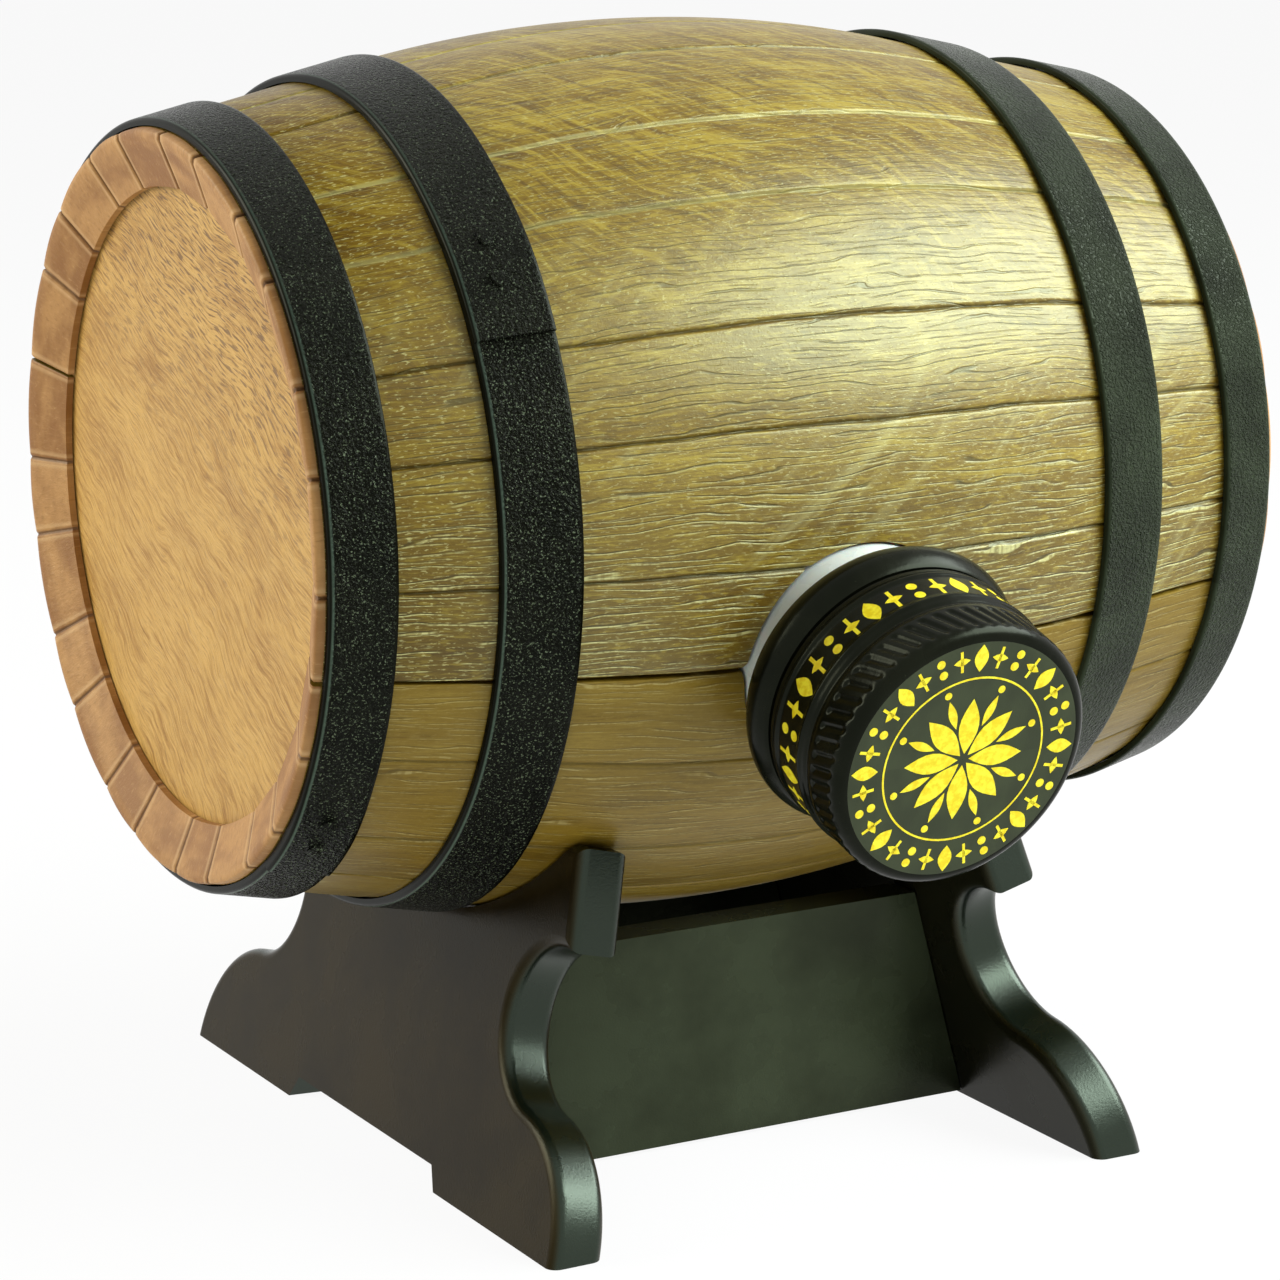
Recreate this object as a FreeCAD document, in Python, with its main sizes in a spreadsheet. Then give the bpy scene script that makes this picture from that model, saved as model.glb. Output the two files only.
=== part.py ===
"""Miniature cask-shaped drinks bottle on a splayed stand, as a parametric document.

Two moulded half shells with oak staves close round a plastic bottle, whose neck comes
out through the seam and carries a screw cap with a tamper band. Two head discs, four
hoops and a stand of two leaning end frames and two panels complete it. Millimetres,
+Z up, the cask's axis along X, the neck towards -Y. The origin is on the table, under
the middle of the cask.
"""
import FreeCAD, Part
import Sketcher
import math
import os

from FreeCAD import Placement, Rotation, Vector

doc = FreeCAD.newDocument("CaskBottle")


# Driving dimensions, one sheet row each: name, value, meaning.
SIZES = [
    ("cask_half", 36.0, "half length over the stave ends"),
    ("belly_radius", 30.7, "outside of the staves at mid length"),
    ("stave_bend", 92.0, "radius of the staves' lengthwise bend"),
    ("shell_wall", 2.0, "wall of the half shells"),
    ("seam_half_angle", 0.3, "each shell stops this far from the seam plane, degrees"),
    ("roll", 17.0, "how far the neck dips below level, degrees"),
    ("axis_height", 46.2, "cask axis above the table"),
    ("rim_flat", 0.5, "flat width of the stave ends"),
    ("head_recess", 1.4, "depth of the bevel inside the stave ends"),
    ("head_radius", 21.2, "visible radius of the head discs"),
    ("croze_lip", 0.5, "lip between the bevel and the head disc"),
    ("croze_depth", 1.1, "how far the head disc's slot reaches past the bevel"),
    ("head_thick", 1.6, "head disc thickness"),
    ("head_edge", 0.4, "bevel round the head disc"),
    ("end_block", 2.6, "solid ring behind each head disc"),
    ("joint_depth", 0.3, "depth of the grooves between staves"),
    ("joint_angle", 0.9, "angular width of those grooves, degrees"),
    ("stave_pairs", 12, "pairs of a narrow and a wide stave, an even number"),
    ("narrow_stave", 13.0, "angle of the narrow stave, degrees"),
    ("rib_place", 16.0, "bottle ribs, from mid length"),
    ("rib_wide", 1.6, "width of the bottle ribs"),
    ("peg_radius", 0.8, "pegs that locate the shells"),
    ("peg_long", 1.6, "peg length below the seam"),
    ("fit_gap", 0.08, "clearance of parts that are pushed or glued together"),
    ("loose_gap", 0.2, "clearance of parts that only lie in or on each other"),
    ("hoop_thick", 0.5, "hoop band thickness"),
    ("hoop_edge", 0.15, "bevel on the hoop's outer corners"),
    ("quarter_hoop_start", 19.6, "inner edge of the quarter hoops, where the bend ends"),
    ("quarter_hoop_wide", 5.2, "width of the quarter hoops"),
    ("end_hoop_inset", 0.6, "outer edge of the end hoops, from the stave ends"),
    ("end_hoop_wide", 4.3, "width of the end hoops"),
    ("lap_thick", 0.2, "second layer where a hoop's ends overlap"),
    ("lap_angle", 22.0, "how far the ends overlap, degrees"),
    ("stud_radius", 0.65, "studs through the hoop laps"),
    ("stud_high", 0.15, "stud height above the lap"),
    ("stud_step", 6.0, "angle between a lap's two studs, degrees"),
    ("left_end_lap", 197, "where each hoop's lap starts, degrees from the rear over the top"),
    ("left_quarter_lap", 113, "the same for the left quarter hoop"),
    ("right_quarter_lap", 300, "the same for the right quarter hoop"),
    ("right_end_lap", 40, "the same for the right end hoop"),
    ("bottle_radius", 21.0, "outside of the bottle at mid length"),
    ("bottle_bend", 72.0, "radius of the bottle's lengthwise bend"),
    ("bottle_half", 25.0, "half length of the bottle"),
    ("bottle_corner", 2.6, "bevel of the bottle's ends"),
    ("bottle_wall", 1.2, "bottle wall"),
    ("neck_radius", 7.9, "neck outside, at the thread root"),
    ("neck_edge", 0.4, "bevel at the mouth of the neck"),
    ("neck_bore", 6.2, "bore radius of the neck"),
    ("thread_rise", 0.5, "how far the neck's thread stands out"),
    ("thread_foot", 1.3, "width of a thread at its root"),
    ("thread_crest", 0.5, "width of a thread at its crest"),
    ("thread_pitch", 3.175, "advance in one turn"),
    ("thread_turns", 1.3, "length of the neck's thread, in turns"),
    ("thread_start", 37.1, "first thread turn, from the cask axis"),
    ("cap_turns", 0.9, "length of the cap's thread, in turns"),
    ("cap_top", 43.8, "outer face of the cap, from the cask axis"),
    ("cap_radius", 9.15, "outside of the cap"),
    ("cap_wall", 0.35, "metal of the cap"),
    ("cap_corner", 0.9, "rounding of the cap's top edge"),
    ("cap_skirt", 8.15, "cap height without the tamper band"),
    ("flute_high", 2.1, "height of the gripping flutes"),
    ("flute_radius", 0.5, "radius of one flute"),
    ("flute_depth", 0.14, "depth of one flute"),
    ("flute_lean", 20.0, "slant of the flutes, degrees"),
    ("flute_count", 56, "flutes round the cap"),
    ("bead_rise", 0.14, "beads rolled into the cap's skirt"),
    ("bead_wide", 0.7, "width of those beads"),
    ("bead_step", 0.84, "from the skirt's upper groove to the bead below it"),
    ("score_gap", 0.25, "cut between the cap and the tamper band"),
    ("band_high", 2.8, "tamper band height"),
    ("band_rim", 0.15, "how far the band's edges stand past the cap"),
    ("band_swell", 0.5, "how far the band bulges past its edges"),
    ("band_hook", 0.45, "band's inward lip under the catch bead"),
    ("catch_rise", 0.9, "bead on the neck that holds the band"),
    ("catch_wide", 0.9, "width of that bead at its root"),
    ("catch_crest", 0.3, "width of that bead at its crest"),
    ("liner_thick", 0.8, "sealing disc in the cap"),
    ("stance_half", 23.0, "frame's outer face from the middle, at the table"),
    ("frame_lean", 14.4, "inward lean of the end frames, degrees"),
    ("frame_thick", 3.75, "end frame board"),
    ("frame_round", 0.8, "rounded edges of the end frames"),
    ("round_low", 2.4, "the base is left sharp up to this height"),
    ("foot_past_hoop", 0.23, "how far the feet reach past the quarter hoops"),
    ("toe_radius", 8.6, "foot's round top"),
    ("cove_step", 1.5, "from the middle of the foot's round top to that of the hollow"),
    ("cove_radius", 5.5, "hollow above the foot"),
    ("ledge", 1.0, "ledge under the horn"),
    ("horn_high", 6.7, "horn above the ledge"),
    ("horn_lean", 1.4, "how far the horn's top stands in"),
    ("foot_inner", 12.0, "inner end of each foot, from mid depth"),
    ("foot_slope", 1.0, "run of the step up from the foot"),
    ("arch_high", 1.6, "clearance under the frame between its feet"),
    ("panel_face", 12.3, "outer face of the panels, from mid depth"),
    ("panel_thick", 3.0, "panel board"),
    ("panel_low", 0.3, "panel above the table"),
    ("panel_gap", 1.34, "between a panel's top edge and the cask"),
    ("tongue_long", 1.5, "tongue on each end of a panel"),
    ("tongue_thick", 1.4, "tongue board"),
    ("tongue_step", 1.6, "tongue's set-back from the panel's top and bottom"),
]

sheet = doc.addObject("Spreadsheet::Sheet", "Sizes")
for row, (alias, value, meaning) in enumerate(SIZES, start=1):
    sheet.set(f"A{row}", meaning)
    sheet.set(f"B{row}", str(value))
    sheet.setAlias(f"B{row}", alias)
doc.recompute()


# A number together with its sheet formula, so that both always say the same.
class Dim:
    def __init__(self, value, text):
        self.value = value
        self.text = text

    def __add__(self, other):
        other = dim(other)
        return Dim(self.value + other.value, f"({self.text} + {other.text})")

    def __sub__(self, other):
        other = dim(other)
        return Dim(self.value - other.value, f"({self.text} - {other.text})")

    def __mul__(self, other):
        other = dim(other)
        return Dim(self.value * other.value, f"({self.text} * {other.text})")

    def __truediv__(self, other):
        other = dim(other)
        return Dim(self.value / other.value, f"({self.text} / {other.text})")

    def __neg__(self):
        return Dim(-self.value, f"(0 - {self.text})")

    def __rsub__(self, other):
        return dim(other) - self

    def __rmul__(self, other):
        return dim(other) * self


def dim(number):
    return number if isinstance(number, Dim) else Dim(float(number), repr(number))


def root(area):
    return Dim(math.sqrt(area.value), f"sqrt({area.text})")


def sine(angle):
    return Dim(math.sin(math.radians(angle.value)), f"sin({angle.text})")


def cosine(angle):
    return Dim(math.cos(math.radians(angle.value)), f"cos({angle.text})")


# Reads a size from the sheet by its name.
class SheetSizes:
    def __getattr__(self, alias):
        return Dim(float(getattr(sheet, alias)), f"Sizes.{alias}")


S = SheetSizes()
ZERO = dim(0)
FULL_TURN = dim(360)
OVERSHOOT = dim(1)
LEFT, RIGHT = 1, -1
FLAT = 1e-6


def bind(item, prop, size):
    item.setExpression(prop, size.text)


# Bodies, sketches and features.
def new_body(name, with_cask=True):
    """A body; the cask's own bodies are built upright and rolled about the cask axis."""
    body = doc.addObject("PartDesign::Body", name)
    body.Label = name
    if with_cask:
        roll = Rotation(Vector(1, 0, 0), S.roll.value)
        body.Placement = Placement(Vector(0, 0, S.axis_height.value), roll)
        bind(body, "Placement.Base.z", S.axis_height)
        bind(body, "Placement.Rotation.Angle", S.roll)
    return body


def origin_part(body, role):
    for item in body.Origin.OriginFeatures:
        if item.Role == role:
            return item
    raise RuntimeError(f"{body.Name} has no {role}")


def new_sketch(body, name, plane="XY_Plane", turn=None, shift=None):
    """A sketch on an origin plane, turned about the plane's first axis, then shifted.

    shift gives sizes for x, y or z of the plane's own frame.
    """
    shift = shift or {}
    sketch = body.newObject("Sketcher::SketchObject", f"{body.Name}_{name}")
    sketch.AttachmentSupport = [(origin_part(body, plane), "")]
    sketch.MapMode = "FlatFace"
    base = Vector(*[shift[k].value if k in shift else 0.0 for k in "xyz"])
    angle = turn.value if turn else 0.0
    sketch.AttachmentOffset = Placement(base, Rotation(Vector(1, 0, 0), angle))
    if turn:
        bind(sketch, "AttachmentOffset.Rotation.Angle", turn)
    for key, size in shift.items():
        bind(sketch, f"AttachmentOffset.Base.{key}", size)
    return sketch


def pin_point(sketch, edge, end, point):
    """Dimension one vertex from the sketch's origin, both ways, from the sheet."""
    for kind, axis, size in (("DistanceX", -2, point[0]), ("DistanceY", -1, point[1])):
        if size.value == 0:
            sketch.addConstraint(Sketcher.Constraint("PointOnObject", edge, end, axis))
            continue
        if size.value > 0:
            rule = Sketcher.Constraint(kind, -1, 1, edge, end, size.value)
        else:
            size = -size
            rule = Sketcher.Constraint(kind, edge, end, -1, 1, size.value)
        number = sketch.addConstraint(rule)
        bind(sketch, f"Constraints[{number}]", size)


def add_arc(sketch, start, end, radius, turn):
    """The short arc between two points; returns its edge and its first and last vertex."""
    chord = end - start
    middle = (start + end) * 0.5
    height = math.sqrt(radius.value ** 2 - chord.Length ** 2 / 4)
    side = Vector(-chord.y, chord.x, 0).normalize() * turn
    centre = middle + side * height
    circle = Part.Circle(centre, Vector(0, 0, 1), radius.value)
    angles = [math.atan2(p.y - centre.y, p.x - centre.x) for p in (start, end)]
    if turn == RIGHT:
        angles.reverse()
    edge = sketch.addGeometry(Part.ArcOfCircle(circle, *angles))
    number = sketch.addConstraint(Sketcher.Constraint("Radius", edge, radius.value))
    bind(sketch, f"Constraints[{number}]", radius)
    return (edge, 1, 2) if turn == LEFT else (edge, 2, 1)


def outline(sketch, points):
    """Closed outline. A point (x, y) ends a line, (x, y, radius, turn) ends an arc."""
    edges = []
    for before, point in zip([points[-1]] + points[:-1], points):
        start = Vector(before[0].value, before[1].value, 0)
        end = Vector(point[0].value, point[1].value, 0)
        if len(point) == 2:
            edges.append((sketch.addGeometry(Part.LineSegment(start, end)), 1, 2))
        else:
            edges.append(add_arc(sketch, start, end, point[2], point[3]))
    for here, after, point in zip(edges, edges[1:] + edges[:1], points):
        rule = Sketcher.Constraint("Coincident", here[0], here[2], after[0], after[1])
        sketch.addConstraint(rule)
        pin_point(sketch, here[0], here[2], point)
    return sketch


def mirrored(half, bridge=()):
    """Closes a half outline with its mirror image across the second axis.

    bridge is the arc, if any, from the last point to its mirror image. An arc of the
    first point comes from that point's mirror image.
    """
    points = list(half)
    marks = [point[2:] for point in half[1:]] + [tuple(bridge)]
    for point, mark in zip(reversed(half), reversed(marks)):
        points.append((-point[0], point[1]) + tuple(mark))
    return points


def circle(sketch, centre, radius):
    middle = Vector(centre[0].value, centre[1].value, 0)
    edge = sketch.addGeometry(Part.Circle(middle, Vector(0, 0, 1), radius.value))
    number = sketch.addConstraint(Sketcher.Constraint("Radius", edge, radius.value))
    bind(sketch, f"Constraints[{number}]", radius)
    pin_point(sketch, edge, 3, centre)
    return sketch


def turn_solid(body, name, kind, sketch, axis="H_Axis", angle=FULL_TURN, midplane=False):
    """A Revolution or Groove about one of the sketch's own axes."""
    feature = body.newObject(f"PartDesign::{kind}", f"{body.Name}_{name}")
    feature.Profile = sketch
    feature.ReferenceAxis = (sketch, [axis])
    feature.Midplane = midplane
    feature.Angle = angle.value
    if angle.value != FULL_TURN.value:
        bind(feature, "Angle", angle)
    return feature


def push_solid(body, name, kind, sketch, length, reverse=False, midplane=False):
    """A Pad or Pocket of a given length."""
    feature = body.newObject(f"PartDesign::{kind}", f"{body.Name}_{name}")
    feature.Profile = sketch
    feature.Length = length.value
    bind(feature, "Length", length)
    feature.Reversed = reverse
    feature.Midplane = midplane
    return feature


def polar(body, name, original, axis, count, step=None):
    """Copies round an axis: all the way round, or count copies a step apart."""
    pattern = body.newObject("PartDesign::PolarPattern", f"{body.Name}_{name}")
    pattern.Originals = [original]
    pattern.Axis = (origin_part(body, axis), [""])
    if step is None:
        pattern.Angle = FULL_TURN.value
        bind(pattern, "Occurrences", count)
    else:
        span = step * (count - 1)
        pattern.Angle = span.value
        bind(pattern, "Angle", span)
    pattern.Occurrences = int(count.value if isinstance(count, Dim) else count)
    body.Tip = pattern
    return pattern


# Stave surface: a bend between the quarter hoops and straight cones beyond them.
bend_centre = S.belly_radius - S.stave_bend
bend_leg = root(S.stave_bend * S.stave_bend - S.quarter_hoop_start * S.quarter_hoop_start)
bend_end_radius = bend_centre + bend_leg
stave_slope = S.quarter_hoop_start / bend_leg


def stave_radius(x):
    """Outside of the staves beyond the bend."""
    return bend_end_radius - stave_slope * (x - S.quarter_hoop_start)


def bend_offset(inset):
    """End of the bend on a surface that lies inset below the staves' outside."""
    share = (S.stave_bend - inset) / S.stave_bend
    return S.quarter_hoop_start * share, bend_centre + bend_leg * share


end_radius = stave_radius(S.cask_half)
bevel_foot = S.cask_half - S.head_recess
head_face = bevel_foot - S.croze_lip
slot_radius = S.head_radius + S.croze_depth
slot_back = head_face - S.head_thick - S.fit_gap * 2
block_back = slot_back - S.end_block
peg_place = slot_back - S.end_block / 2
peg_ring = (S.head_radius + stave_radius(peg_place)) / 2
stave_pair = FULL_TURN / S.stave_pairs
end_hoop_start = S.cask_half - S.end_hoop_inset - S.end_hoop_wide

# Bottle surface.
bottle_centre = S.bottle_radius - S.bottle_bend


def bottle_surface(x):
    return bottle_centre + root(S.bottle_bend * S.bottle_bend - x * x)


# Places along the neck, measured from the cask axis.
liner_top = S.cap_top - S.cap_wall - S.fit_gap
liner_low = liner_top - S.liner_thick
neck_top = liner_low - S.fit_gap
cap_low = S.cap_top - S.cap_skirt
band_top = cap_low - S.score_gap
band_low = band_top - S.band_high
cap_inside = S.cap_radius - S.cap_wall
catch_top = band_top - S.loose_gap
catch_low = catch_top - S.catch_wide


def shell_section():
    """Half shell cut through its axis: staves, bevelled ends, head slots and ribs."""
    wall_bend = S.stave_bend - S.shell_wall
    wall_end = bend_offset(S.shell_wall)
    rib_in = S.rib_place - S.rib_wide / 2
    rib_out = S.rib_place + S.rib_wide / 2
    rib_edge = bottle_surface(rib_in) + S.loose_gap

    def wall(x):
        return bend_centre + root(wall_bend * wall_bend - x * x)

    half = [
        (S.quarter_hoop_start, bend_end_radius, S.stave_bend, RIGHT),
        (S.cask_half, end_radius),
        (S.cask_half, end_radius - S.rim_flat),
        (bevel_foot, S.head_radius),
        (head_face, S.head_radius),
        (head_face, slot_radius),
        (slot_back, slot_radius),
        (slot_back, S.head_radius),
        (block_back, S.head_radius),
        (block_back, wall_end[1] - stave_slope * (block_back - wall_end[0])),
        wall_end,
        (rib_out, wall(rib_out), wall_bend, LEFT),
        (rib_out, rib_edge),
        (rib_in, rib_edge),
        (rib_in, wall(rib_in)),
    ]
    return mirrored(half, bridge=(wall_bend, LEFT))


def joint_section():
    """Everything outside a surface that lies joint_depth below the staves and bevels."""
    groove_end = bend_offset(S.joint_depth)
    half = [
        groove_end + (S.stave_bend - S.joint_depth, RIGHT),
        (S.cask_half - S.joint_depth, end_radius - S.joint_depth),
        (bevel_foot - S.joint_depth, S.head_radius),
        (S.cask_half + OVERSHOOT, S.head_radius),
        (S.cask_half + OVERSHOOT, S.belly_radius + OVERSHOOT),
    ]
    return mirrored(half)


def half_shell(name, start, first_joint):
    """One shell, swept from the start angle through just under half a turn.

    Angles count from the rear of the cask (+Y) over its top.
    """
    body = new_body(name)
    section = outline(new_sketch(body, "section", turn=start + S.seam_half_angle),
                      shell_section())
    half_turn = 180 - S.seam_half_angle * 2
    turn_solid(body, "staves", "Revolution", section, angle=half_turn)

    joints = int(S.stave_pairs.value) // 2
    places = [(first_joint, joints), (stave_pair, joints - 1)]
    for number, (angle, count) in enumerate(places):
        line = outline(new_sketch(body, f"joint_line_{number}", turn=start + angle),
                       joint_section())
        groove = turn_solid(body, f"joint_{number}", "Groove", line,
                            angle=S.joint_angle, midplane=True)
        polar(body, f"joints_{number}", groove, "X_Axis", count, stave_pair)

    opening = circle(new_sketch(body, "neck_circle", plane="XZ_Plane"), (ZERO, ZERO),
                     S.neck_radius + S.loose_gap)
    push_solid(body, "neck_hole", "Pocket", opening, S.belly_radius + OVERSHOOT,
               reverse=True)
    return body


def peg_circles(sketch, radius):
    for x in (peg_place, -peg_place):
        for y in (peg_ring, -peg_ring):
            circle(sketch, (x, y), radius)
    return sketch


def shells():
    wide_stave = stave_pair - S.narrow_stave
    upper = half_shell("upper_shell", ZERO, wide_stave)
    pegs = peg_circles(new_sketch(upper, "peg_circles", shift={"z": OVERSHOOT}),
                       S.peg_radius)
    push_solid(upper, "pegs", "Pad", pegs, S.peg_long + OVERSHOOT, reverse=True)

    lower = half_shell("lower_shell", dim(180), S.narrow_stave)
    sockets = peg_circles(new_sketch(lower, "socket_circles"), S.peg_radius + S.fit_gap)
    push_solid(lower, "sockets", "Pocket", sockets, S.peg_long + S.loose_gap)


def head(name, side):
    """Head disc in its slot; side is 1 at the +X end and -1 at the other."""
    body = new_body(name)
    face = head_face - S.fit_gap
    back = face - S.head_thick
    radius = slot_radius - S.fit_gap
    points = [
        (side * face, ZERO),
        (side * face, radius - S.head_edge),
        (side * (face - S.head_edge), radius),
        (side * back, radius),
        (side * back, ZERO),
    ]
    turn_solid(body, "disc", "Revolution", outline(new_sketch(body, "section"), points))


def hoop(name, side, inner, wide, lap_start):
    """Hoop on the straight stretch of the staves, with a lapped joint and two studs."""
    body = new_body(name)
    outer = inner + wide

    def band(low, thick, trim):
        first, last = inner + trim, outer - trim
        return [
            (side * first, stave_radius(first) + low),
            (side * first, stave_radius(first) + low + thick - S.hoop_edge),
            (side * (first + S.hoop_edge), stave_radius(first + S.hoop_edge) + low + thick),
            (side * (last - S.hoop_edge), stave_radius(last - S.hoop_edge) + low + thick),
            (side * last, stave_radius(last) + low + thick - S.hoop_edge),
            (side * last, stave_radius(last) + low),
        ]

    ring = outline(new_sketch(body, "section"), band(S.fit_gap, S.hoop_thick, ZERO))
    turn_solid(body, "ring", "Revolution", ring)
    lap = outline(new_sketch(body, "lap_section", turn=lap_start),
                  band(S.fit_gap, S.hoop_thick + S.lap_thick, S.hoop_edge))
    turn_solid(body, "lap", "Revolution", lap, angle=S.lap_angle)

    middle = inner + wide / 2
    lap_top = stave_radius(middle) + S.fit_gap + S.hoop_thick + S.lap_thick
    foot = lap_top - S.hoop_thick / 2
    for number, way in enumerate((-1, 1), start=1):
        angle = lap_start + S.lap_angle / 2 + S.stud_step / 2 * way
        place = {"x": side * middle, "y": foot * cosine(angle), "z": foot * sine(angle)}
        spot = new_sketch(body, f"stud_{number}_circle", turn=angle - 90, shift=place)
        circle(spot, (ZERO, ZERO), S.stud_radius)
        push_solid(body, f"stud_{number}", "Pad", spot, S.stud_high + S.hoop_thick / 2)


def thread(body, name, foot_radius, crest_radius, start, turns):
    """Helical ridge round the neck axis, from its foot to its crest radius."""
    points = [
        (foot_radius, -(start - S.thread_foot / 2)),
        (crest_radius, -(start - S.thread_crest / 2)),
        (crest_radius, -(start + S.thread_crest / 2)),
        (foot_radius, -(start + S.thread_foot / 2)),
    ]
    sketch = outline(new_sketch(body, f"{name}_section"), points)
    ridge = body.newObject("PartDesign::AdditiveHelix", f"{body.Name}_{name}")
    ridge.Profile = sketch
    ridge.ReferenceAxis = (sketch, ["V_Axis"])
    ridge.Mode = "pitch-turns-angle"
    ridge.Pitch = S.thread_pitch.value
    bind(ridge, "Pitch", S.thread_pitch)
    ridge.Turns = turns.value
    bind(ridge, "Turns", turns)
    ridge.Reversed = True


def bottle():
    """Hollow barrel-shaped bottle with its neck at the side."""
    body = new_body("bottle")
    bend_end = S.bottle_half - S.bottle_corner
    barrel = [
        (bend_end, bottle_surface(bend_end), S.bottle_bend, RIGHT),
        (S.bottle_half, bottle_surface(bend_end) - S.bottle_corner),
        (S.bottle_half, ZERO),
    ]
    sketch = outline(new_sketch(body, "barrel_section"), mirrored(barrel))
    turn_solid(body, "barrel", "Revolution", sketch)

    catch_slope = (S.catch_wide - S.catch_crest) / 2
    neck = [
        (ZERO, ZERO),
        (S.neck_radius, ZERO),
        (S.neck_radius, -catch_low),
        (S.neck_radius + S.catch_rise, -(catch_low + catch_slope)),
        (S.neck_radius + S.catch_rise, -(catch_top - catch_slope)),
        (S.neck_radius, -catch_top),
        (S.neck_radius, S.neck_edge - neck_top),
        (S.neck_radius - S.neck_edge, -neck_top),
        (ZERO, -neck_top),
    ]
    sketch = outline(new_sketch(body, "neck_section"), neck)
    turn_solid(body, "neck", "Revolution", sketch, axis="V_Axis")
    thread(body, "thread", S.neck_radius - S.neck_edge / 2,
           S.neck_radius + S.thread_rise, S.thread_start, S.thread_turns)

    share = (S.bottle_bend - S.bottle_wall) / S.bottle_bend
    inside_end = bend_end * share
    inside_radius = bottle_centre + (bottle_surface(bend_end) - bottle_centre) * share
    inside = [
        (inside_end, inside_radius, S.bottle_bend - S.bottle_wall, RIGHT),
        (S.bottle_half - S.bottle_wall, inside_radius - S.bottle_corner),
        (S.bottle_half - S.bottle_wall, ZERO),
    ]
    sketch = outline(new_sketch(body, "inside_section"), mirrored(inside))
    turn_solid(body, "inside", "Groove", sketch)

    bore = [
        (ZERO, ZERO),
        (S.neck_bore, ZERO),
        (S.neck_bore, -(neck_top + OVERSHOOT)),
        (ZERO, -(neck_top + OVERSHOOT)),
    ]
    sketch = outline(new_sketch(body, "bore_section"), bore)
    turn_solid(body, "bore", "Groove", sketch, axis="V_Axis")


def bead(middle, rise):
    """Three points of a rolled bead on the cap's skirt; a negative rise is a groove."""
    return [
        (S.cap_radius, -(middle + S.bead_wide / 2)),
        (S.cap_radius + rise, -middle),
        (S.cap_radius, -(middle - S.bead_wide / 2)),
    ]


def cap_shell():
    """Rolled metal cap: rounded top edge, slanted flutes, beads and an inner thread."""
    body = new_body("cap_shell")
    flute_top = S.cap_top - S.cap_corner
    flute_low = flute_top - S.flute_high
    first_bead = flute_low - S.bead_wide
    points = [
        (ZERO, -S.cap_top),
        (S.cap_radius - S.cap_corner, -S.cap_top),
        (S.cap_radius, -flute_top, S.cap_corner, LEFT),
        *bead(first_bead, -S.bead_rise),
        *bead(first_bead - S.bead_step, S.bead_rise),
        *bead(cap_low + S.bead_wide, S.bead_rise),
        (S.cap_radius, -cap_low),
        (cap_inside, -cap_low),
        (cap_inside, -(S.cap_top - S.cap_wall)),
        (ZERO, -(S.cap_top - S.cap_wall)),
    ]
    sketch = outline(new_sketch(body, "section"), points)
    turn_solid(body, "cup", "Revolution", sketch, axis="V_Axis")
    thread(body, "thread", cap_inside + S.cap_wall / 2, S.neck_radius + S.loose_gap,
           S.thread_start + S.thread_pitch / 2, S.cap_turns)

    flute = body.newObject("PartDesign::SubtractiveCylinder", "cap_shell_flute")
    flute.AttachmentSupport = [(origin_part(body, "XZ_Plane"), "")]
    flute.MapMode = "FlatFace"
    lean = Rotation(Vector(1, 0, 0), S.flute_lean.value)
    place = S.cap_radius + S.flute_radius - S.flute_depth
    flute.AttachmentOffset = Placement(Vector(place.value, 0, flute_low.value), lean)
    bind(flute, "AttachmentOffset.Base.x", place)
    bind(flute, "AttachmentOffset.Base.z", flute_low)
    bind(flute, "AttachmentOffset.Rotation.Angle", S.flute_lean)
    bind(flute, "Radius", S.flute_radius)
    bind(flute, "Height", S.flute_high / cosine(S.flute_lean))
    polar(body, "flutes", flute, "Y_Axis", S.flute_count)


def cap_liner():
    body = new_body("cap_liner")
    radius = cap_inside - S.loose_gap
    points = [(ZERO, -liner_top), (ZERO, -liner_low), (radius, -liner_low), (radius, -liner_top)]
    sketch = outline(new_sketch(body, "section"), points)
    turn_solid(body, "disc", "Revolution", sketch, axis="V_Axis")


def tamper_band():
    """Swelling ring that stays on the neck, hooked under the catch bead."""
    body = new_body("tamper_band")
    edge = S.cap_radius + S.band_rim
    half_high = S.band_high / 2
    swell = (half_high * half_high + S.band_swell * S.band_swell) / (S.band_swell * 2)
    inside = S.neck_radius + S.catch_rise + S.loose_gap
    hook = S.neck_radius + S.loose_gap
    points = [
        (edge, -band_top),
        (edge, -band_low, swell, LEFT),
        (hook, -band_low),
        (hook, -(band_low + S.band_hook)),
        (inside, -(band_low + S.band_hook)),
        (inside, -band_top),
    ]
    sketch = outline(new_sketch(body, "section"), points)
    turn_solid(body, "ring", "Revolution", sketch, axis="V_Axis")


# Stand: heights along the leaning boards are longer than upright ones.
lean_rise = cosine(S.frame_lean)
lean_run = sine(S.frame_lean) / lean_rise
frame_width = S.frame_thick / lean_rise
hoop_reach = bend_end_radius + S.fit_gap + S.hoop_thick
foot_end = hoop_reach + S.foot_past_hoop
toe_centre = foot_end - S.toe_radius
cove_centre = toe_centre + S.cove_step


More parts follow.
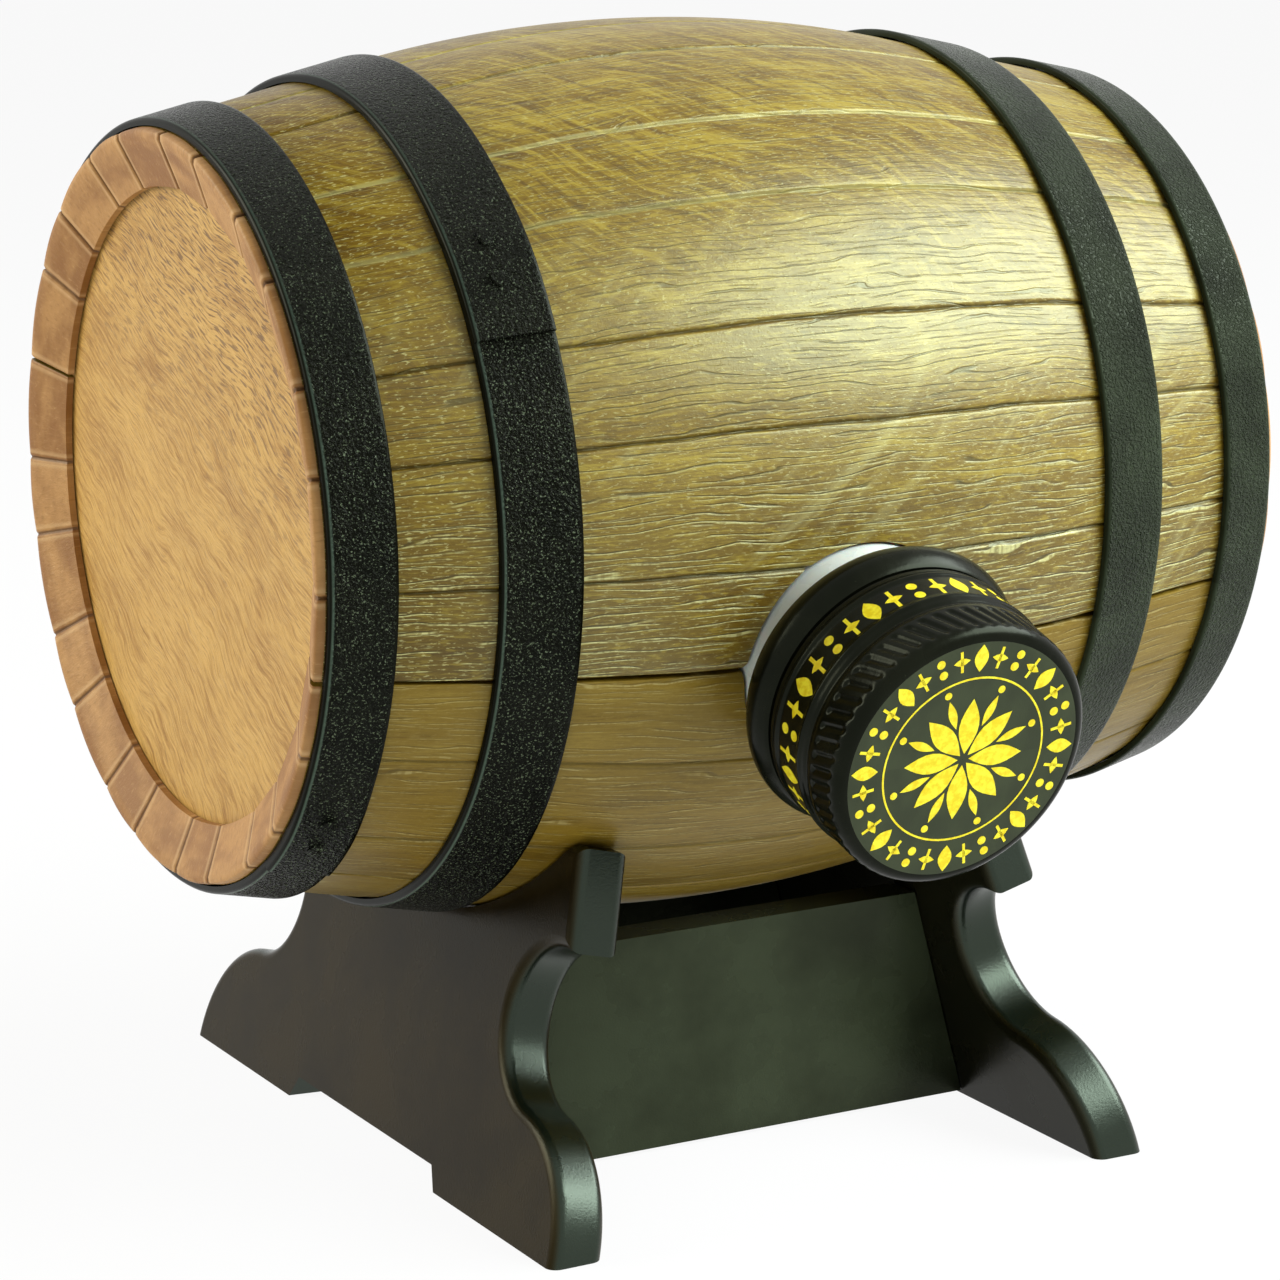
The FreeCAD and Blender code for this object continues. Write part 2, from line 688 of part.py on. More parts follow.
def frame_outline():
    """End frame on its own board plane: horns, coves, round toes and an arched base."""
    reach = S.toe_radius + S.cove_radius
    cove_high = root(reach * reach - S.cove_step * S.cove_step)
    share = S.toe_radius / reach
    ledge_high = cove_high + S.cove_radius
    ledge_end = cove_centre + S.ledge
    half = [
        (S.foot_inner - S.foot_slope, S.arch_high / lean_rise),
        (S.foot_inner, ZERO),
        (S.foot_inner, -OVERSHOOT),
        (foot_end, -OVERSHOOT),
        (foot_end, ZERO),
        (toe_centre + S.cove_step * share, cove_high * share, S.toe_radius, LEFT),
        (cove_centre - S.cove_radius, cove_high, S.cove_radius, RIGHT),
        (cove_centre, ledge_high, S.cove_radius, RIGHT),
        (ledge_end, ledge_high),
        (ledge_end - S.horn_lean, ledge_high + S.horn_high),
    ]
    return mirrored(half)


def seat_section(side):
    """Space for one half of the cask and its hoops, with a loose gap all round."""
    gap = S.loose_gap
    bend = S.stave_bend + gap
    step = S.quarter_hoop_start - gap
    hoops = S.hoop_thick + S.fit_gap + S.lap_thick + S.stud_high + gap
    axis = S.axis_height
    turn = RIGHT if side > 0 else LEFT
    return [
        (ZERO, axis),
        (ZERO, axis + S.belly_radius + gap),
        (side * step, axis + bend_centre + root(bend * bend - step * step), bend, turn),
        (side * step, axis + bend_end_radius + hoops),
        (side * (S.cask_half + gap), axis + end_radius + hoops),
        (side * (S.cask_half + gap), axis),
    ]


def panel_outline(reach, inset):
    """Panel between the leaning boards; reach goes into them, inset off top and bottom."""
    face = S.stance_half - frame_width + reach / lean_rise
    inner_face = S.panel_face - S.panel_thick
    cask_low = S.axis_height - root(S.belly_radius * S.belly_radius - inner_face * inner_face)
    low = S.panel_low + inset
    high = cask_low - S.panel_gap - inset
    half = [(face - lean_run * low, low), (face - lean_run * high, high)]
    return mirrored(half)


def end_frame(name, side):
    """Leaning end frame; side is 1 at the +X end and -1 at the other."""
    body = new_body(name, with_cask=False)
    sketch = new_sketch(body, "outline", plane="YZ_Plane", turn=-side * S.frame_lean,
                        shift={"z": side * S.stance_half})
    outline(sketch, frame_outline())
    board = push_solid(body, "board", "Pad", sketch, S.frame_thick, reverse=side > 0)
    doc.recompute()

    # The rounded edges are those of the two board faces, all but the arched base.
    rims = [f"Edge{k}" for k, edge in enumerate(board.Shape.Edges, start=1)
            if on_board_face(edge, side)]
    rounding = body.newObject("PartDesign::Fillet", f"{name}_rounding")
    rounding.Base = (board, rims)
    rounding.Radius = S.frame_round.value
    bind(rounding, "Radius", S.frame_round)

    below = new_sketch(body, "below_table")
    reach = S.cask_half * 2
    outline(below, mirrored([(reach, -reach), (reach, reach)]))
    push_solid(body, "flat_feet", "Pocket", below, reach)

    seat = outline(new_sketch(body, "seat_section", plane="XZ_Plane"), seat_section(side))
    line = Part.LineSegment(Vector(0, S.axis_height.value, 0),
                            Vector(side, S.axis_height.value, 0))
    number = seat.addGeometry(line, True)
    seat.addConstraint(Sketcher.Constraint("Horizontal", number))
    seat.addConstraint(Sketcher.Constraint("Coincident", number, 1, 1, 1))
    turn_solid(body, "seat", "Groove", seat, axis="Axis0")

    for place in (1, -1):
        middle = place * (S.panel_face - S.panel_thick / 2)
        slot = new_sketch(body, f"slot_{'front' if place > 0 else 'rear'}",
                          plane="XZ_Plane", shift={"z": middle})
        outline(slot, panel_outline(S.tongue_long + S.fit_gap, S.tongue_step - S.fit_gap))
        push_solid(body, f"{slot.Name}_cut", "Pocket", slot,
                   S.tongue_thick + S.fit_gap * 2, midplane=True)


def on_board_face(edge, side):
    """True for an edge that lies in the outer or inner face of a leaning board."""
    normal = Vector(math.cos(math.radians(S.frame_lean.value)), 0,
                    side * math.sin(math.radians(S.frame_lean.value)))
    spread = [point.dot(normal) for point in edge.discretize(5)]
    lowest = min(point.z for point in edge.discretize(5))
    return max(spread) - min(spread) < FLAT and lowest > S.round_low.value


def panel(name, place):
    """Board between the end frames; place is 1 at the front and -1 at the rear."""
    body = new_body(name, with_cask=False)
    middle = {"z": place * (S.panel_face - S.panel_thick / 2)}
    board = new_sketch(body, "outline", plane="XZ_Plane", shift=middle)
    outline(board, panel_outline(-S.fit_gap, ZERO))
    push_solid(body, "board", "Pad", board, S.panel_thick, midplane=True)
    tongue = new_sketch(body, "tongue_outline", plane="XZ_Plane", shift=middle)
    outline(tongue, panel_outline(S.tongue_long, S.tongue_step))
    push_solid(body, "tongues", "Pad", tongue, S.tongue_thick, midplane=True)


shells()
head("left_head", -1)
head("right_head", 1)
hoop("left_end_hoop", -1, end_hoop_start, S.end_hoop_wide, S.left_end_lap)
hoop("left_quarter_hoop", -1, S.quarter_hoop_start, S.quarter_hoop_wide, S.left_quarter_lap)
hoop("right_quarter_hoop", 1, S.quarter_hoop_start, S.quarter_hoop_wide, S.right_quarter_lap)
hoop("right_end_hoop", 1, end_hoop_start, S.end_hoop_wide, S.right_end_lap)
bottle()
cap_shell()
cap_liner()
tamper_band()
end_frame("stand_left_frame", -1)
end_frame("stand_right_frame", 1)
panel("stand_front_panel", 1)
panel("stand_rear_panel", -1)
doc.recompute()


# Every object has to be sound before anything is written.
bodies = [item for item in doc.Objects if item.TypeId == "PartDesign::Body"]
for item in doc.Objects:
    if "Invalid" in item.State or "Error" in item.State:
        raise RuntimeError(f"{item.Name} failed: {item.State}")
for body in bodies:
    if body.Shape.isNull() or not body.Shape.isValid() or len(body.Shape.Solids) != 1:
        raise RuntimeError(f"{body.Label} is not one sound solid")

os.makedirs("parts", exist_ok=True)
for body in bodies:
    body.Shape.exportStep(os.path.join("parts", body.Label + ".step"))
    print(body.Label, round(body.Shape.Volume, 2))
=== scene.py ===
"""Looks of the miniature cask bottle on its stand.

The cask's pieces are made in the cask's own frame, in millimetres: x along its axis, and
angles round it in degrees, from the rear (+Y) over the top. The neck and its cap lie along
that frame's -Y. They go to the row's frame, in metres, in one place.
"""

import math

import bpy
import numpy as np
from mathutils import Matrix, Quaternion, Vector


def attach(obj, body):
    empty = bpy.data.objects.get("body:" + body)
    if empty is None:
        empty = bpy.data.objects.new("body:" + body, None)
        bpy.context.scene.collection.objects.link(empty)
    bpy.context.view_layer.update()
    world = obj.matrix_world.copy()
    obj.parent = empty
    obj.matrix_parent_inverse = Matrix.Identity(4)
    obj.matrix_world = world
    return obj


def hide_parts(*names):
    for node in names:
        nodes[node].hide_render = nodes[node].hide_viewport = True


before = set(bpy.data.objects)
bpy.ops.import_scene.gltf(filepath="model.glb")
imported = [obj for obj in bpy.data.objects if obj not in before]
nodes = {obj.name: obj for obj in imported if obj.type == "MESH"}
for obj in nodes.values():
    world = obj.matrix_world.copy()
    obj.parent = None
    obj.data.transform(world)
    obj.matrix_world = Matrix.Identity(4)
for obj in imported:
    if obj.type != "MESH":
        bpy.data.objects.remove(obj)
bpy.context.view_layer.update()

MM = 0.001
FULL_TURN = 360.0
HALF_TURN = 180.0

# Cask and staves.
AXIS_HEIGHT = 46.2
ROLL = 17.0
CASK_HALF = 36.0
BELLY_RADIUS = 30.7
STAVE_BEND = 92.0
BEND_END = 19.6
SHELL_WALL = 2.0
RIM_FLAT = 0.5
RIM_ROUND = 0.14
BEVEL_STEPS = (0.2, 0.4, 0.6, 0.8, 1.0)
LENGTH_STEPS = 82
WALL_STEPS = 14
HEAD_RECESS = 1.4
HEAD_RADIUS = 21.2
HEAD_LIP = 0.5
HEAD_SLOT = 1.1
HEAD_THICK = 1.6
HEAD_EDGE = 0.4
SEAM_HALF = 0.3
STAVE_PAIR = 30.0
NARROW_STAVE = 13.0
WIDE_STAVE = STAVE_PAIR - NARROW_STAVE
GROOVE_DEEP = 0.2
GROOVE_HALF = 0.13
SEAM_DEEP = 0.5
SEAM_HALF_WIDE = 0.5
SEAM_DEEP_HALF = 8.0
SEAM_FADE = 12.0
STAVE_CROWN = 0.09
SHELL_ROWS = 150
JOINT_ROWS = (0, 0.08, 0.16, 0.25, 0.36, 0.5, 0.7, 1.0, 1.5)
ARC_PER_DEGREE = math.radians(28.5)
FIT_GAP = 0.08
LOOSE_GAP = 0.2
AXIS_HOLE = 0.02
SMOOTH_ANGLE = 32.0
STAVE_SMOOTH_ANGLE = 40.0
CAP_SMOOTH_ANGLE = 50.0

# Hoops.
HOOP_THICK = 0.5
HOOP_ROUND = 0.24
HOOP_SHOULDER = 0.6
HOOP_ROW_STEP = 1.5
QUARTER_HOOP = (19.6, 5.2)
END_HOOP = (31.1, 4.3)
LAP_THICK = 0.2
LAP_ANGLE = 22.0
LAP_CLIFF = (-0.02, 0.25)
STUD_RADIUS = 0.65
STUD_HIGH = 0.14
STUD_STEP = 6.0
STUD_RINGS = 6
STUD_SIDES = 28

# Neck and cap, as distances from the cask's axis.
NECK_RADIUS = 7.9
NECK_CUT = (12.0, 36.0)
NECK_SIDES = 128
CAP_TOP = 43.8
CAP_LOW = 35.65
CAP_RADIUS = 9.15
CAP_WALL = 0.35
CAP_CORNER = 0.9
CAP_CORNER_ANGLES = (80, 0)
CAP_SKIRT_STEPS = 66
FLUTE_LOW = 40.8
FLUTE_COUNT = 56
FLUTE_SIDES = 12
FLUTE_FLAT = 0.4
FLUTE_FADE_LOW = 0.25
FLUTE_FADE_HIGH = 0.5
FLUTE_DEPTH = 0.14
FLUTE_LEAN = 20.0
BEAD_RISE = 0.14
BEAD_WIDE = 0.7
BEADS = ((40.1, -1), (39.26, 1), (36.35, 1))
BAND_TOP = 35.4
BAND_HIGH = 2.8
BAND_RIM = 0.15
BAND_SWELL = 0.5
BAND_BORE = 8.1
BAND_LIP = 0.12
BAND_SWELL_END = 0.1
BAND_SWELL_STEPS = 16
BAND_ROW_STEP = 2.5

# Print: plates of ink, and their measures as the ring's radius, length and width.
PRINT_THICK = 0.02
PETALS = 8
PETAL = (2.35, 3.9, 1.45)
SMALL_PETAL = (3.55, 2.2, 0.6)
PETAL_DOT = (5.1, 0.26)
THIN_RING = (5.75, 0.5, 0.13)
THIN_RING_BARS = 72
WREATH_MARKS = 32
WREATH_RADIUS = 7.15
WREATH_LEAF = (1.9, 1.0)
WREATH_CROSS = (1.2, 0.5, 1.5, 0.2)
WREATH_DOTS = ((6.75, 0.3), (7.6, 0.3))
SKIRT_MARKS = 36
SKIRT_FAR = 37.9
SKIRT_LEAF = (2.1, 1.15)
SKIRT_CROSS = (1.9, 0.26, 1.25, 0.55)
SKIRT_DOTS = ((37.35, 0.36), (38.45, 0.36))

# Strokes of the head: their slope falls with the height over the table.
HEAD_SLOPE = 1.2
HEAD_SLOPE_FALL = 0.0138
HEAD_FLOW = 72.5

# Camera, lamps and room, in metres and degrees.
CAMERA_AZIMUTH = -28.25
CAMERA_ELEVATION = 12.13
CAMERA_ROLL = -0.71
CAMERA_FAR = 0.2788
CAMERA_TARGET = (-0.00853, -0.01556, 0.03712)
CAMERA_LENS = 118.04
CAMERA_SENSOR = 36.0
CAMERA_CLIP = (0.01, 20.0)
LAMP_FAR = 0.45
FLOOR_HALF = 3.0
FLOOR_COLOUR = (0.86, 0.86, 0.85, 1)
FLOOR_WHITE = 0.93
WORLD_LIGHT = 0.16

CASK_TO_ROW = (Matrix.Translation((0, 0, AXIS_HEIGHT * MM))
               @ Matrix.Rotation(math.radians(ROLL), 4, "X") @ Matrix.Scale(MM, 4))


def srgb(red, green, blue):
    """A colour as it is read off a screen, 0 to 255, for a shader."""
    def linear(part):
        part /= 255
        return part / 12.92 if part <= 0.04045 else ((part + 0.055) / 1.055) ** 2.4
    return linear(red), linear(green), linear(blue), 1.0


# Tones of the staves, from dark to cream, and colours that several finishes share.
UPPER_TONES = (srgb(82, 56, 2), srgb(114, 87, 8), srgb(158, 136, 44), srgb(208, 204, 138))
LOWER_TONES = (srgb(104, 79, 14), srgb(124, 98, 26), srgb(140, 116, 42),
               srgb(204, 190, 128))
LINE_BROWN = srgb(50, 36, 2)
# Painted shade: the brown that the left end of the staves darkens towards.
PAINTED_SHADE_BROWN = srgb(66, 42, 0)
DARK_TINT = (0.88, 1.0, 0.72, 1.0)


# Node graphs. Sockets of a Mix node that are used for colours:
MIX_SHARE, MIX_FIRST, MIX_SECOND, MIX_RESULT = 0, 6, 7, 2


class Value:
    """An output socket with arithmetic; each operation adds a Math node."""

    def __init__(self, graph, socket):
        self.graph = graph
        self.socket = socket

    def __add__(self, other):
        return self.graph.math("ADD", self, other)

    def __sub__(self, other):
        return self.graph.math("SUBTRACT", self, other)

    def __mul__(self, other):
        return self.graph.math("MULTIPLY", self, other)

    def __truediv__(self, other):
        return self.graph.math("DIVIDE", self, other)

    __radd__ = __add__
    __rmul__ = __mul__

    def __rsub__(self, other):
        return self.graph.math("SUBTRACT", other, self)


class Graph:
    """A material whose nodes are written as formulas."""

    def __init__(self, name, roughness=0.5, **fixed):
        self.material = bpy.data.materials.new(name)
        self.material.use_nodes = True
        self.tree = self.material.node_tree
        self.tree.nodes.clear()
        self.shader = self.tree.nodes.new("ShaderNodeBsdfPrincipled")
        output = self.tree.nodes.new("ShaderNodeOutputMaterial")
        self.tree.links.new(self.shader.outputs[0], output.inputs["Surface"])
        self.set("Roughness", roughness)
        for title, number in fixed.items():
            self.set(title.replace("_", " "), number)

    def put(self, value, socket):
        if isinstance(value, Value):
            self.tree.links.new(value.socket, socket)
        else:
            socket.default_value = value

    def set(self, title, value):
        self.put(value, self.shader.inputs[title])

    def node(self, kind, inputs, output=0, **settings):
        node = self.tree.nodes.new(kind)
        for title, value in settings.items():
            setattr(node, title, value)
        for key, value in inputs.items():
            self.put(value, node.inputs[key])
        return Value(self, node.outputs[output])

    def math(self, operation, *values):
        return self.node("ShaderNodeMath", dict(enumerate(values)), operation=operation)

    def place(self):
        """Object coordinates as three values, in millimetres."""
        spot = self.node("ShaderNodeTexCoord", {}, output="Object")
        return [self.node("ShaderNodeSeparateXYZ", {0: spot}, output=k) * (1 / MM)
                for k in range(3)]

    def vector(self, x, y=0.0, z=0.0):
        return self.node("ShaderNodeCombineXYZ", {0: x, 1: y, 2: z})

    def noise(self, place, scale=1.0, detail=2.0, rough=0.5):
        inputs = {"Vector": place, "Scale": scale, "Detail": detail, "Roughness": rough}
        return self.node("ShaderNodeTexNoise", inputs, output="Fac")

    def cells(self, place, scale):
        inputs = {"Vector": place, "Scale": scale}
        return self.node("ShaderNodeTexVoronoi", inputs, output="Distance")

    def random(self, seed):
        """A number from 0 to 1 that is always the same for the same seed."""
        return self.node("ShaderNodeTexWhiteNoise", {"W": seed}, noise_dimensions="1D")

    def step(self, value, low, high, start=0.0, end=1.0):
        """From start at low to end at high, smoothly, and level beyond them."""
        inputs = {"Value": value, "From Min": low, "From Max": high, "To Min": start,
                  "To Max": end}
        return self.node("ShaderNodeMapRange", inputs, interpolation_type="SMOOTHSTEP")

    def mix(self, share, first, second):
        inputs = {MIX_SHARE: share, MIX_FIRST: first, MIX_SECOND: second}
        return self.node("ShaderNodeMix", inputs, output=MIX_RESULT, data_type="RGBA")

    def bump(self, height, depth):
        """Relief from a height of 0 to 1; depth is in millimetres."""
        inputs = {"Height": height, "Distance": depth * MM}
        self.set("Normal", self.node("ShaderNodeBump", inputs))


# In all finishes, a factor on a place is a noise's frequency per millimetre, and the first
# two limits of a step are values of the noise, angles in degrees or millimetres.
def cask_place(g):
    """x, angle and radius in the cask's frame, in millimetres and degrees."""
    x, y, z = g.place()
    cos, sin = math.cos(math.radians(ROLL)), math.sin(math.radians(ROLL))
    high = z - AXIS_HEIGHT
    back = y * cos + high * sin
    up = high * cos - y * sin
    angle = g.math("ARCTAN2", up, back) * math.degrees(1)
    return x, angle, g.math("SQRT", back * back + up * up)


def skin_place(g, x, angle, radius):
    """A place unrolled from the cask's skin, for a grain that is even all round."""
    return g.vector(x, angle * ARC_PER_DEGREE, radius)


def angle_from_top(g, angle):
    return g.math("ABSOLUTE", angle - 90.0)


# Wooden staves.
def wander(x, angle, sine):
    """How far the joints between staves stray, in degrees."""
    return sine(x * 0.31 + angle * 0.11) * 0.1 + sine(x * 0.87 - angle * 0.23) * 0.05


def stave_number(g, x, turned, first):
    """Angle from the last wide joint, and a number of its own for each stave."""
    shift = turned + wander(x, turned, lambda value: g.math("SINE", value))
    part = g.math("MODULO", shift + STAVE_PAIR, STAVE_PAIR)
    pair = g.math("FLOOR", shift / STAVE_PAIR)
    return part, pair * 2.0 + g.math("GREATER_THAN", part, first)


def joint_distance(g, part, first):
    """How far the nearest joint between staves is, in millimetres."""
    nearest = g.math("MINIMUM", part, STAVE_PAIR - part)
    return g.math("MINIMUM", nearest, g.math("ABSOLUTE", part - first)) * ARC_PER_DEGREE


def engraved_lines(g, x, across, pitch, seed, bends, length, least):
    """Fine lines along the grain that wander, meet in hairpins and break off.

    pitch is the distance between lines, bends how far they wander, length how long they
    run on, and least how readily they break off. Returns the dark line itself and the lit
    edge beside it.
    """
    ripple = g.noise(g.vector(x * 0.13, across * 0.85, seed), detail=1.0)
    wobble = g.noise(g.vector(x * 0.7, across * 0.6, seed + 5.0), detail=0.0)
    spot = across / pitch + ripple * bends + wobble * 0.22 + seed
    row = g.math("FLOOR", spot)
    chance = g.random(row + seed)
    off = (g.math("FRACT", spot) - 0.5) * pitch
    breaks = g.noise(g.vector(x / length + chance * 91.0, row * 7.3), detail=1.0)
    shown = g.step(breaks, least, least + 0.09)
    line = g.step(g.math("ABSOLUTE", off), 0.018, 0.052, 1.0, 0.0)
    edge = g.step(g.math("ABSOLUTE", off - 0.07), 0.015, 0.055, 1.0, 0.0)
    glint = g.noise(g.vector(x * 2.6, row * 3.1), detail=1.0)
    beads = g.step(glint, 0.36, 0.56, 0.35, 1.0)
    return line * shown, edge * shown * beads


def stave_finish(name, start, first, tones, plain):
    """Oak-look staves: tones are dark, middle, light and cream.

    start is the angle of the shell's seam, first the width of its first stave in degrees.
    plain is 0 for the full figure and 1 for hardly any.
    """
    g = Graph(name, Specular_Tint=(0.88, 1.0, 0.66, 1.0))
    x, angle, _ = cask_place(g)
    turned = g.math("MODULO", angle + 2 * FULL_TURN - start, FULL_TURN)
    part, number = stave_number(g, x, turned, first)
    near = joint_distance(g, part, first)
    across = turned * ARC_PER_DEGREE
    lot = g.random(number + start)
    own = across + number * 13.7
    show = 1.0 - plain

    # Slow bends of the grain, shared by tone, lines and figure.
    sway = g.noise(g.vector(x * 0.055, own * 0.13), detail=2.0) - 0.5
    bent = own + sway * 2.0
    tone = g.noise(g.vector(x * 0.06, bent * 0.5), detail=4.0, rough=0.6)
    fibre = g.noise(g.vector(x * 0.24, bent * 5.5), detail=4.0, rough=0.7)
    fine = g.noise(g.vector(x * 1.8, bent * 9.0), detail=3.0, rough=0.75)

    # Feathery figure: it falls to the right near the top and rises to the right below.
    warp = g.noise(g.vector(x * 0.05, across * 0.05, 4.0), detail=2.0) - 0.5
    falling = across - x * 0.85 + warp * 16.0
    rising = across * 0.85 + x * 0.8 + warp * 9.0
    drift = x * 0.04 + across * 0.03
    feather = g.noise(g.vector(falling * 1.1, drift * 3.0, 1.0), detail=5.0, rough=0.75)
    sweep = g.noise(g.vector(rising * 0.62, drift, 7.0), detail=3.0, rough=0.6)
    patch = g.step(g.noise(g.vector(x * 0.06, across * 0.07, 9.0), detail=2.0), 0.42, 0.62)

    # Zones: round the top, its joints in painted highlight, the foot, and the left end in
    # painted shade.
    from_top = angle_from_top(g, angle)
    top = g.step(from_top, 20.0, 60.0, 1.0, 0.2)
    painted_joint_highlight = g.step(from_top, 24.0, 44.0, 1.0, 0.0) * g.step(from_top, 5.0, 14.0)
    foot = g.step(from_top, 55.0, 82.0)
    painted_shade_left_end = g.step(x, -36.0, -16.0, 1.0, 0.0)

    # Engraving with painted highlights on its edges, and small marks.
    line, edge = engraved_lines(g, x, bent, 0.62, 3.0, 2.2, 5.0, 0.42)
    thin, thin_edge_highlight = engraved_lines(g, x, bent, 0.4, 31.0, 1.8, 3.5, 0.5)
    lines = g.math("MAXIMUM", line, thin * 0.6)
    painted_edge_highlights = g.math("MAXIMUM", edge, thin_edge_highlight * 0.7)
    spark = g.step(g.noise(g.vector(x * 2.2, bent * 6.5, 2.0), detail=2.0), 0.58, 0.68)
    fleck = g.step(g.noise(g.vector(x * 0.8, bent * 4.4, 8.0), detail=3.0), 0.54, 0.66)
    grit = g.noise(g.vector(x * 4.0, across * 4.0, 6.0), detail=2.0, rough=0.7)
    groove = g.step(near, 0.03, 0.17, 1.0, 0.0)

    dark, middle, light, cream = tones
    mixed = tone * 0.4 + fibre * 0.4 + fine * 0.2 + (lot - 0.5) * 0.08
    colour = g.mix(g.step(mixed, 0.38, 0.5), dark, middle)
    colour = g.mix(g.step(mixed, 0.5, 0.63), colour, light)
    colour = g.mix(g.step(feather, 0.36, 0.5, 0.8, 0.0) * top * show, colour, dark)
    colour = g.mix(g.step(feather, 0.5, 0.64, 0.0, 0.9) * top * show, colour, light)
    colour = g.mix(g.step(sweep, 0.48, 0.7) * patch * (1.0 - top) * 0.4 * show, colour,
                   cream)
    # Painted shade: darker low down, towards the seam and below it.
    colour = g.mix(foot * 0.25 * show, colour, dark)
    colour = g.mix(fleck * 0.6 * show, colour, light)
    # Painted shade: the staves darken towards the left end.
    colour = g.mix(painted_shade_left_end * 0.45 * show, colour, PAINTED_SHADE_BROWN)
    colour = g.mix(spark * (0.26 + painted_shade_left_end * 0.24) * show, colour, cream)
    # Painted highlight: cream on the lit edge beside each engraved line, strongest at the
    # foot.
    colour = g.mix(painted_edge_highlights * (foot * 0.75 + 0.1) * (0.3 + 0.7 * show), colour, cream)
    colour = g.mix(lines * (0.35 + 0.45 * show) * (1.0 - top * 0.55), colour, LINE_BROWN)
    colour = g.mix(groove * (0.35 + 0.35 * show) * (1.0 - painted_joint_highlight), colour, LINE_BROWN)
    # Painted highlight: the joints near the top are drawn cream instead of dark.
    colour = g.mix(g.step(near, 0.05, 0.3, 0.4, 0.0) * painted_joint_highlight * show, colour, cream)
    g.set("Base Color", colour)
    g.set("Roughness", g.step(fibre, 0.3, 0.7, 0.41, 0.33))
    dull = painted_shade_left_end * 0.5 + g.step(from_top, 20.0, 50.0, 0.35, 0.0)
    g.set("Specular IOR Level", 0.88 - 0.58 * plain - dull * show)
    height = 0.5 + fibre * 0.12 + fine * 0.14 + grit * 0.22 + spark * 0.12 - lines * 0.5
    g.bump(height, 0.02 + 0.04 * show)
    return g.material


def chime_finish():
    """Sawn stave ends and their bevels: plain, warm and faintly grained."""
    g = Graph("chime_finish", Specular_Tint=(1.0, 0.95, 0.75, 1.0))
    x, angle, radius = cask_place(g)
    turned = g.math("MODULO", angle + 2 * FULL_TURN, FULL_TURN)
    below = g.math("GREATER_THAN", turned, HALF_TURN)
    first = WIDE_STAVE - below * (WIDE_STAVE - NARROW_STAVE)
    part, number = stave_number(g, x, turned - below * HALF_TURN, first)
    near = joint_distance(g, part, first)
    lot = g.random(number + below * 40.0)
    stain = g.noise(g.vector(turned * 0.09, radius * 0.5), detail=3.0)
    pores = g.noise(g.vector(turned * 1.3, radius * 1.6), detail=4.0, rough=0.75)
    colour = g.mix(g.step(stain + (lot - 0.5) * 0.3, 0.3, 0.7),
                   srgb(140, 92, 40), srgb(182, 135, 78))
    colour = g.mix(g.step(pores, 0.5, 0.7) * 0.5, colour, srgb(132, 88, 36))
    colour = g.mix(g.step(pores, 0.3, 0.45, 0.35, 0.0), colour, srgb(214, 172, 116))
    colour = g.mix(g.step(near, 0.05, 0.26, 0.8, 0.0), colour, srgb(84, 50, 18))
    # Painted highlight: a pale band beside each dark joint.
    colour = g.mix(g.step(near, 0.3, 0.45) * g.step(near, 0.5, 0.9, 0.4, 0.0), colour,
                   srgb(218, 180, 128))
    g.set("Base Color", colour)
    g.bump(pores, 0.05)
    return g.material


def head_finish():
    """Golden oak whose dark strokes run level at the top and steeply lower down."""
    g = Graph("head_finish", Specular_Tint=(1.0, 0.95, 0.7, 1.0))
    _, back, up = g.place()
    slope = HEAD_SLOPE - up * HEAD_SLOPE_FALL
    flow = back + g.math("LOGARITHM", slope, math.e) * HEAD_FLOW
    sway = g.noise(g.vector(back * 0.07, up * 0.09), detail=3.0) - 0.5
    bent = flow * 0.55 + sway * 6.0
    along = back * 0.8 + up * 0.6
    tone = g.noise(g.vector(along * 0.1, bent * 0.16), detail=3.0)
    streak = g.noise(g.vector(along * 0.2, bent * 2.6), detail=4.0, rough=0.7)
    fine = g.noise(g.vector(along * 0.6, bent * 8.0), detail=4.0, rough=0.7)
    stroke = g.noise(g.vector(along * 0.7, bent * 3.4, 3.0), detail=2.0)
    high = g.step(up - back * 0.3, 44.0, 64.0)
    colour = g.mix(g.step(tone * 0.3 + streak * 0.7, 0.34, 0.6),
                   srgb(152, 105, 34), srgb(206, 163, 84))
    colour = g.mix(g.step(streak, 0.54, 0.7, 0.0, 0.45), colour, srgb(126, 82, 26))
    colour = g.mix(g.step(fine, 0.5, 0.68, 0.0, 0.6), colour, srgb(220, 182, 108))
    colour = g.mix(g.step(fine, 0.32, 0.44, 0.7, 0.0), colour, srgb(108, 68, 18))
    colour = g.mix(g.step(stroke, 0.52, 0.62) * (0.1 + high * 0.8), colour,
                   srgb(104, 66, 22))
    g.set("Base Color", colour)
    g.set("Roughness", g.step(streak, 0.3, 0.7, 0.52, 0.42))
    g.bump(streak * 0.5 + fine * 0.5, 0.1)
    return g.material


